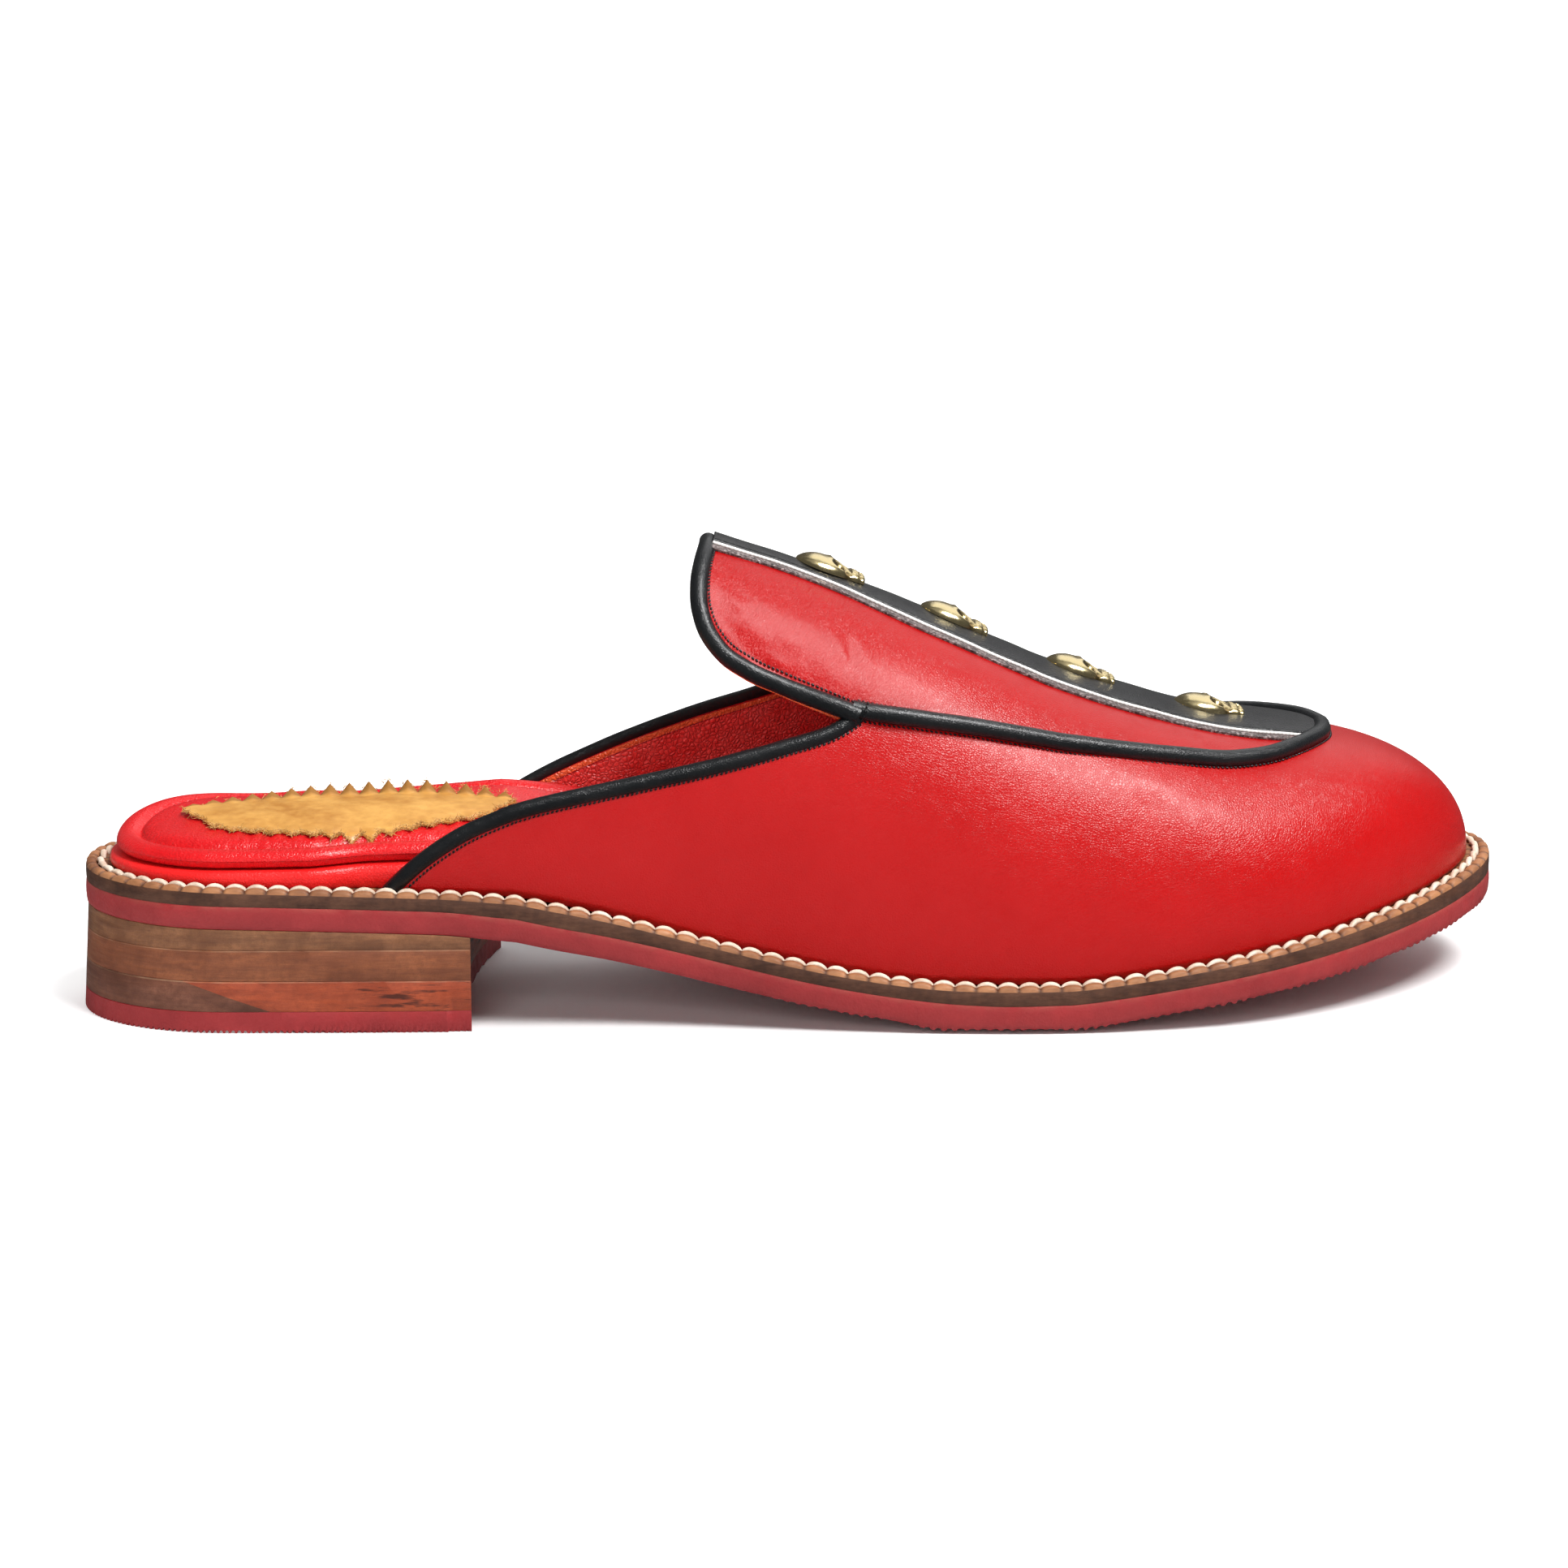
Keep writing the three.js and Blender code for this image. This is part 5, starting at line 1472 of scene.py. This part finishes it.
# %% Heel finishes
SMUDGE = {"x": (-0.098, -0.082), "mask": (0.56, 0.8), "stretch": 0.11}
JOINT_LINE = {"below": 0.1, "half": 0.00016}


def lift_finish(name, dark, light, top_z, smudge):
    """Cut and waxed leather: fibres along the lift, soft patches, and dark polish smudges where asked."""
    material, tree, shader, place = start_material(name, Coat_Weight=0.25, Coat_Roughness=0.25)
    fibre, patch = fibres(tree, place, 0.10), mottle(tree, place, 85.0)
    shade = mix_colour(tree, patch, dark, light)
    shade = stained(tree, shade, fibre, 0.6, scaled(dark, 0.6, 0.5, 0.45))
    shade = stained(tree, shade, mottle(tree, place, 900.0), 0.6, scaled(dark, 0.55, 0.5, 0.5))
    if smudge:
        window = ranged(tree, axis(tree, place, "X"), SMUDGE["x"])
        spot = times(tree, fibres(tree, place, SMUDGE["stretch"]), window)
        mask = ranged(tree, spot, SMUDGE["mask"], (0.0, smudge))
        shade = mix_colour(tree, mask, shade, rgb(0.03, 0.010, 0.008))
    line = is_near(tree, axis(tree, place, "Z"), (top_z - JOINT_LINE["below"]) * MM, JOINT_LINE["half"])
    shade = stained(tree, shade, times(tree, line, patch), 0.35, rgb(0.55, 0.34, 0.20))
    surface(tree, shader, shade, (fibre, 0.34, 0.55), (fibre, 0.25, 0.0003))
    return material


NO_LINE = 50.0
# Lifts: dark and light shade, height of the upper joint line, share of dark polish
LIFT_LEATHERS = {
    "seat_lift_leather": (rgb(0.17, 0.062, 0.024), rgb(0.36, 0.155, 0.065), NO_LINE, 0.0),
    "middle_lift_leather": (rgb(0.21, 0.060, 0.022), rgb(0.36, 0.115, 0.042), LEVELS["middle"], 0.0),
    "base_rear_leather": (rgb(0.13, 0.045, 0.024), rgb(0.25, 0.095, 0.055), LEVELS["base"], 0.0),
    "base_front_leather": (rgb(0.32, 0.050, 0.014), rgb(0.50, 0.095, 0.030), LEVELS["base"], 0.8),
}
SEAT_BROWN, MIDDLE_BROWN, REAR_BROWN, FRONT_ORANGE = (
    lift_finish(name, *row) for name, row in LIFT_LEATHERS.items())
print("lift finishes:", list(LIFT_LEATHERS))

# %% [markdown]
# ## Lifts
# The pieces of the heel, from the seat down to the floor. They could be cut from one block with booleans;
# separate lofts show the thin glue lines between them without any cutting.

# %% Lifts
SCARF = {"top_x": -113.2, "bottom_x": -98.0}
GLUE = 0.015


def level(z):
    """A level height."""
    return lambda x: np.full_like(x, z)


def seat_line(x):
    """Sloping underside of the outsole's seat."""
    return SEAT["z"] + SEAT["slope"] * (x - SEAT["x"]) + true_line(x) - SEAM


def scarf_at(share):
    """Place of the slanted joint at a share of the base lift's height."""
    return blend(SCARF["bottom_x"], SCARF["top_x"], share)


tops = {name: level(z - GLUE) for name, z in LEVELS.items()}
bases = {name: level(z + GLUE) for name, z in LEVELS.items()}
lift_piece("seat_lift", bases["middle"], seat_line, SEAT_BROWN, "heel_seat_lift")
lift_piece("middle_lift", bases["base"], tops["middle"], MIDDLE_BROWN, "heel_middle_lift")
lift_piece("base_lift_rear", bases["top_piece"], tops["base"], REAR_BROWN, "heel_base_rear",
           front_at=scarf_at)
lift_piece("base_lift_front", bases["top_piece"], tops["base"], FRONT_ORANGE, "heel_base_front",
           back_at=scarf_at)
lift_piece("top_piece", level(0.0), tops["top_piece"], SOLE_RED, "heel_top_piece",
           steps=320, tread=0.55)


# %% [markdown]
# ## Insole board
# Behind the upper the edge of the covered board shows as a soft red band. A bevelled plate would look too
# clean; it is one more profile carried round the sole, with slow waves, because leather drawn round a board
# never lies quite flat.

# %% Insole board
BOARD_COUNT = 320
# Edge of the board: outwards, share of its height, share of the waves along it
BOARD_EDGE = np.array([
    (-6.0, 1.0, 0), (-1.1, 1.0, 0), (-0.5, 0.97, 0.4), (-0.12, 0.86, 1), (0.12, 0.65, 1), (0.2, 0.4, 1),
    (0.1, 0.15, 0.5), (-0.25, 0.0, 0), (-6.0, 0.0, 0),
])


def board_profile(x, run):
    """Covered board: rounded upper rim, soft bulge and tucked lower rim."""
    out, share, bend = BOARD_EDGE.T[:, :, None]
    wave = 0.14 * np.sin(run / 5.3) * np.sin(run / 13.1 + 1) + 0.06 * np.sin(run / 1.9)
    return out + wave * bend, blend(welt_top(x) + GAP, board_top(x), share)


board = carried("insole_board_cover", BOARD_COUNT, lambda x: footbed_inset(x, BOARD), board_profile,
                sharp=False)
dress(board, [BOARD_RED], ["insole_board"])

# %% [markdown]
# ## Padded sock
# A cushion with a rolled rim, a sewn seam inside the rim and small puckers along it. It could be blown up
# with a cloth simulation, but the rim and the seam are narrower than a remesh keeps, so its height is a
# formula of the distance to its outline.

# %% Sock heights
ARCH = {"rise": 5.8, "peak": -36.0, "behind": 42.0, "ahead": 50.0, "from": 0.2}
RIM = {"half": 2.3, "high": 1.8, "base": 1.3, "seam": 4.2, "overlap": 0.5, "sink": 3}
SOCK = {"rows": 350, "columns": 130, "ring": 520, "seam_height": 1.7, "rise": 2.4, "run": 1.0, "dome": 1.7,
        "dome_run": 15, "least": 0.02, "fore": 0.68, "fore_from": (-60, 20), "grain": 0.35}
TILT = {"rise": 2.3, "across": (-3, 19), "end": (-78, -45), "heel": 1.55, "heel_end": (-118, -96)}
PUCKER = {"deep": 0.2, "length": 0.26, "reach": 3.0}


def arch_rise(x, share):
    """Swelling under the inner arch: a bump along x that grows towards the inner side."""
    climb = smooth(x, ARCH["peak"] - ARCH["behind"], ARCH["peak"])
    fall = smooth(x, ARCH["peak"], ARCH["peak"] + ARCH["ahead"])
    return ARCH["rise"] * climb * (1 - fall) * smooth(share, ARCH["from"], 1.0)


def tilt_rise(x, y):
    """Far side of the heel seat stands higher, most at its end; further forward the arch takes over."""
    heel_end = blend(TILT["heel"], 1.0, smooth(x, *TILT["heel_end"]))
    return TILT["rise"] * heel_end * smooth(y, *TILT["across"]) * (1 - smooth(x, *TILT["end"]))


def soft_max(a, b, sharpness=6.0):
    """Rounded maximum of two heights."""
    return np.logaddexp(a * sharpness, b * sharpness) / sharpness


def cushion(inside):
    """Height of the cushion by distance inside the seam: a quick rise and a slow dome."""
    quick = SOCK["rise"] * (1 - np.exp(-inside / SOCK["run"]))
    return SOCK["seam_height"] + quick + SOCK["dome"] * smooth(inside, 0, SOCK["dome_run"])


def sock_height(distance, run, thick):
    """Height above the board by distance from the outline: half-round rim, seam groove, then the cushion with
    puckers across the seam. thick scales it down towards the toe."""
    rim = RIM["high"] * np.sqrt(np.clip(1 - ((distance - RIM["half"]) / RIM["half"]) ** 2, 0, 1))
    rim = np.where(distance < 2 * RIM["half"], rim + RIM["base"], 0.0)
    inside = np.clip(distance - RIM["seam"], 0, None)
    filled = cushion(inside) - RIM["sink"] * (distance < RIM["seam"] - RIM["overlap"])
    uneven = blend(0.4, 1.0, np.sin(run / 5.0 + 0.8) ** 2)
    wave = np.sin(run / PUCKER["length"] + 2.1 * np.sin(run / 3.7)) * uneven
    pucker = PUCKER["deep"] * wave * np.exp(-(inside / PUCKER["reach"]) ** 2)
    return soft_max(rim, filled + pucker * (inside > 0)) * thick


print("cushion at 0, 3 and 15 mm inside the seam:", np.round(cushion(np.array([0.0, 3.0, 15.0])), 2))

# %% Padded sock
SKIRT = {"high": 1.5, "run": 1.2}


def segment_distance(points, ring, nearest, step):
    """Distance of points from the piece of a closed line between its nearest point and the one beside it."""
    start, end = ring[nearest], ring[(nearest + step) % len(ring)]
    along_it = ((points - start) * (end - start)).sum(-1) / ((end - start) ** 2).sum(-1)
    foot = start + (end - start) * np.clip(along_it, 0, 1)[:, None]
    return np.linalg.norm(points - foot, axis=1)


def pad_inset(x):
    """Distance of the padded sock from the outline of the sole."""
    return footbed_inset(x, PAD)


def padded_sock():
    """Top and bottom heightfields that meet along the outline."""
    from_x, to_x = -HALF + PAD["heel_inset"], HALF - PAD["fore_inset"]
    x = blend(from_x, to_x, 0.5 - 0.5 * np.cos(np.linspace(0, np.pi, SOCK["rows"])))[:, None]
    share = -np.cos(np.linspace(0, np.pi, SOCK["columns"]))[None]
    lateral, medial, middle, _ = sides(x, pad_inset(x))
    y = middle + share * (medial - lateral) / 2
    x = np.broadcast_to(x, y.shape)
    ring, _, run = outline(pad_inset, SOCK["ring"])
    flat = np.column_stack([x.ravel(), y.ravel()]).astype(np.float32)
    best = ((flat[:, None] - ring.astype(np.float32)[None]) ** 2).sum(-1).argmin(axis=1)
    distance = np.minimum(*(segment_distance(flat, ring, best, step) for step in (-1, 1))).reshape(y.shape)
    distance[:, [0, -1]], distance[[0, -1]] = 0.0, 0.0
    thick = blend(1.0, SOCK["fore"], smooth(x, *SOCK["fore_from"]))
    floor_z = board_top(x) + GAP
    padding = sock_height(distance, run[best].reshape(y.shape), thick)
    top = floor_z + padding + arch_rise(x, share) + tilt_rise(x, y)
    skirt = SKIRT["high"] * np.clip(1 - distance / SKIRT["run"], 0, 1) ** 2 * thick
    bottom = np.where(distance == 0.0, top, np.minimum(floor_z + skirt, top - SOCK["least"]))
    points = np.stack([np.stack([x, y, z], -1) for z in (top, bottom)]).reshape(-1, 3)
    rows, columns = y.shape
    faces = np.concatenate([tube_faces(rows, columns, closed=False)[:, ::-1],
                            tube_faces(rows, columns, closed=False, start=rows * columns)])
    skin = np.full(len(points), SOCK["grain"])
    return write_mesh("padded_sock", points, faces, sharp=False, values={"grain": skin})


sock = dress(padded_sock(), [PAD_RED], ["sock_pad"])

# %% [markdown]
# ## Patch finish
# The patch is tan leather with a smooth golden face. Its far teeth stand up, away from the top light, and
# their darker shade is painted into the colour; it follows a value that each point carries, so it ends exactly
# where they begin.


# %% Patch finish
def tan_patch():
    """Tan leather face, golden and a little streaked; the upturned far teeth get a painted shade."""
    material, tree, shader, place = start_material("tan_leather")
    streak = fibres(tree, place, 0.2)
    shade = mix_colour(tree, mottle(tree, place, 110.0), rgb(0.48, 0.20, 0.032), rgb(0.76, 0.40, 0.095))
    shade = stained(tree, shade, streak, 0.2, rgb(0.34, 0.14, 0.02))
    fold = point_value(tree, "fold")
    # Painted shade on the far teeth, which stand up out of the top light
    shade = mix_colour(tree, fold, shade, rgb(0.30, 0.13, 0.02))
    surface(tree, shader, shade, (fold, 0.36, 0.8), (streak, 0.2, 0.0003))
    return material


def tan_fibre():
    """Loose golden fibres of the cut edge."""
    material, tree, shader, place = start_material("tan_fibre", Roughness=0.7)
    shade = mix_colour(tree, mottle(tree, place, 500.0), rgb(0.42, 0.21, 0.04), rgb(0.85, 0.58, 0.22))
    surface(tree, shader, shade)
    return material


TAN, TAN_FIBRE = tan_patch(), tan_fibre()
print("patch finishes:", TAN.name, TAN_FIBRE.name)

# %% [markdown]
# ## Sock patch
# A leaf of tan leather with a pinked edge lies on the sock, its far teeth bent up. It asks the sock for its
# height, so it follows the cushion without a shrinkwrap. It carries no mark.

# %% Patch form
PATCH = {"from": -113.5, "to": -53.0, "near": 11.6, "far": 11.4, "thick": 0.5, "lift": 0.1, "centre": 2.2,
         "bow": 4.3, "columns": 41}
# Teeth: how many, rows of points for each, reach outwards and upwards on the near and the far edge
TOOTH = {"count": 17, "rows": 8, "near_out": 1.68, "near_up": 0.25, "far_out": 0.6, "far_up": 2.3}


def sock_top(x, y):
    """Smooth top of the padded sock well inside its seam."""
    lateral, medial, middle, _ = sides(x, pad_inset(x))
    half = (medial - lateral) / 2
    inside = np.clip(half - np.abs(y - middle) - RIM["seam"], 0, None)
    return board_top(x) + GAP + cushion(inside) + arch_rise(x, (y - middle) / half) + tilt_rise(x, y)


def patch_place(t, c):
    """Point of the patch: t along its length, c from -1 on the near edge to 1 on the far edge. The half width
    is a sine, fuller on the near side, and the middle line bows to the near side. Teeth are triangle waves,
    and the far teeth bend upwards."""
    x = blend(PATCH["from"], PATCH["to"], t)
    lens = np.sin(np.pi * blend(0.02, 0.98, t))
    ends = smooth(t, -0.02, 0.12) * smooth(1 - t, -0.02, 0.1)
    half = np.where(c < 0, PATCH["near"] * ends * blend(0.62, 1.0, lens), PATCH["far"] * lens)
    tooth = (1 - np.abs(2 * np.mod(TOOTH["count"] * t, 1) - 1)) * smooth(np.abs(c), 0.80, 1.0)
    centre = PATCH["centre"] - PATCH["bow"] * np.sin(np.pi * t)
    y = centre + c * half + np.sign(c) * tooth * np.where(c > 0, TOOTH["far_out"], TOOTH["near_out"])
    up = tooth * np.where(c > 0, TOOTH["far_up"] * (0.4 + t) * lens ** 0.5, TOOTH["near_up"])
    return np.stack(np.broadcast_arrays(x, y, sock_top(x, y) + PATCH["lift"] + up), -1)


print("middle of the patch:", np.round(patch_place(np.array(0.5), np.array(0.0)), 1))


# %% Sock patch
def patch_mesh():
    """Top and underside of the patch, joined round the edge."""
    rows, columns = TOOTH["count"] * TOOTH["rows"] + 1, PATCH["columns"]
    t = np.linspace(0, 1, rows)[:, None]
    c = np.sin(np.linspace(-np.pi / 2, np.pi / 2, columns))[None]
    low = patch_place(t, c)
    top = low.copy()
    top[..., 2] += PATCH["thick"] * np.clip(1 - np.abs(c) ** 8 * 0.4, 0, 1)
    count = rows * columns
    index = np.arange(count).reshape(rows, columns)
    border = np.concatenate([index[0], index[1:, -1], index[-1, -2::-1], index[-2:0:-1, 0]])
    after = np.roll(border, -1)
    faces = np.concatenate([tube_faces(rows, columns, closed=False)[:, ::-1],
                            tube_faces(rows, columns, closed=False, start=count),
                            np.stack([border, after, after + count, border + count], -1)])
    # Marks the far teeth for their painted shade and their rougher finish
    fold = np.broadcast_to(smooth(c, 0.82, 0.9), (2, rows, columns))
    return write_mesh("bare_patch", np.stack([top, low]), faces, values={"fold": fold})


dress(patch_mesh(), [TAN], ["sock_patch"])

# %% [markdown]
# ## Frayed fibres
# Loose hairs stand out along the cut edge. A hair system would do, but it is not a mesh that can be
# exported; thin three-sided tubes are, and a fixed seed keeps them in place.

# %% Frayed fibres
FRAY = {"near": 0.82, "reach": (0.25, 0.85), "radius": 0.08, "taper": 0.7, "bend": 0.6}


def frayed_fibres(count=1500, seed=7, rows=5, columns=3):
    """Thin curved hairs that start on the patch's edge and bend outwards and down or up, three-sided."""
    rng = np.random.default_rng(seed)
    near = rng.random(count) < FRAY["near"]
    t0 = np.where(near, rng.random(count), rng.random(count) ** 0.5)
    c0 = np.where(near, -1.0, 1.0)
    root = patch_place(t0, c0) + np.array([0, 0, 1.0]) * rng.uniform(0.0, 0.8, count)[:, None]
    reach = rng.uniform(*FRAY["reach"], count)[:, None, None]
    lean = np.column_stack([
        rng.normal(0, 0.7, count), c0 * rng.uniform(0.3, 1.0, count), rng.normal(0.1, 0.5, count)])
    bend = np.column_stack([rng.normal(0, spread, count) for spread in (0.8, 0.5, 0.5)])
    s = np.linspace(0, 1, rows)[None, :, None]
    path = root[:, None] + reach * (lean[:, None] * s + bend[:, None] * s ** 2 * FRAY["bend"])
    angle = circle(columns)
    ring = np.stack([np.cos(angle), np.zeros(columns), np.sin(angle)], -1)
    points = path[:, :, None] + ring[None, None] * FRAY["radius"] * (1 - FRAY["taper"] * s[..., None])
    return write_mesh("patch_fibres", points, many_tubes(count, rows, columns), sharp=False)


dress(frayed_fibres(), [TAN_FIBRE])

# %% [markdown]
# ## Floor finish
# The photograph's ground is pure white a hand's breadth from the shoe, with soft shadows close to it. The
# sheet therefore glows a little away from the shoe, which is simpler than lighting the ground on its own.

# %% Floor finish
GLOW = {"behind": (0.3, 1.4), "centre": (0.03, 0.0, 0.0), "away": (0.115, 0.175), "away_share": 0.7}


def floor_white():
    """White studio sheet with the faintest unevenness; it glows like a lit backdrop away from the shoe."""
    material, tree, shader, place = start_material("studio_white", Roughness=0.7, Emission_Strength=0.8)
    shade = mix_colour(tree, mottle(tree, place, 1.5), rgb(0.82, 0.82, 0.82), rgb(0.84, 0.84, 0.84))
    surface(tree, shader, shade)
    behind = ranged(tree, axis(tree, place, "Y"), GLOW["behind"])
    away = add(tree, "VectorMath", {0: place, 1: GLOW["centre"]}, operation="DISTANCE").outputs["Value"]
    ring = ranged(tree, away, GLOW["away"], (0.0, GLOW["away_share"]))
    feed(tree, shader.inputs["Emission Color"], math_node(tree, "MAXIMUM", behind, ring))
    return material


floor.data.materials.append(floor_white())
print("floor finish:", floor.data.materials[0].name)
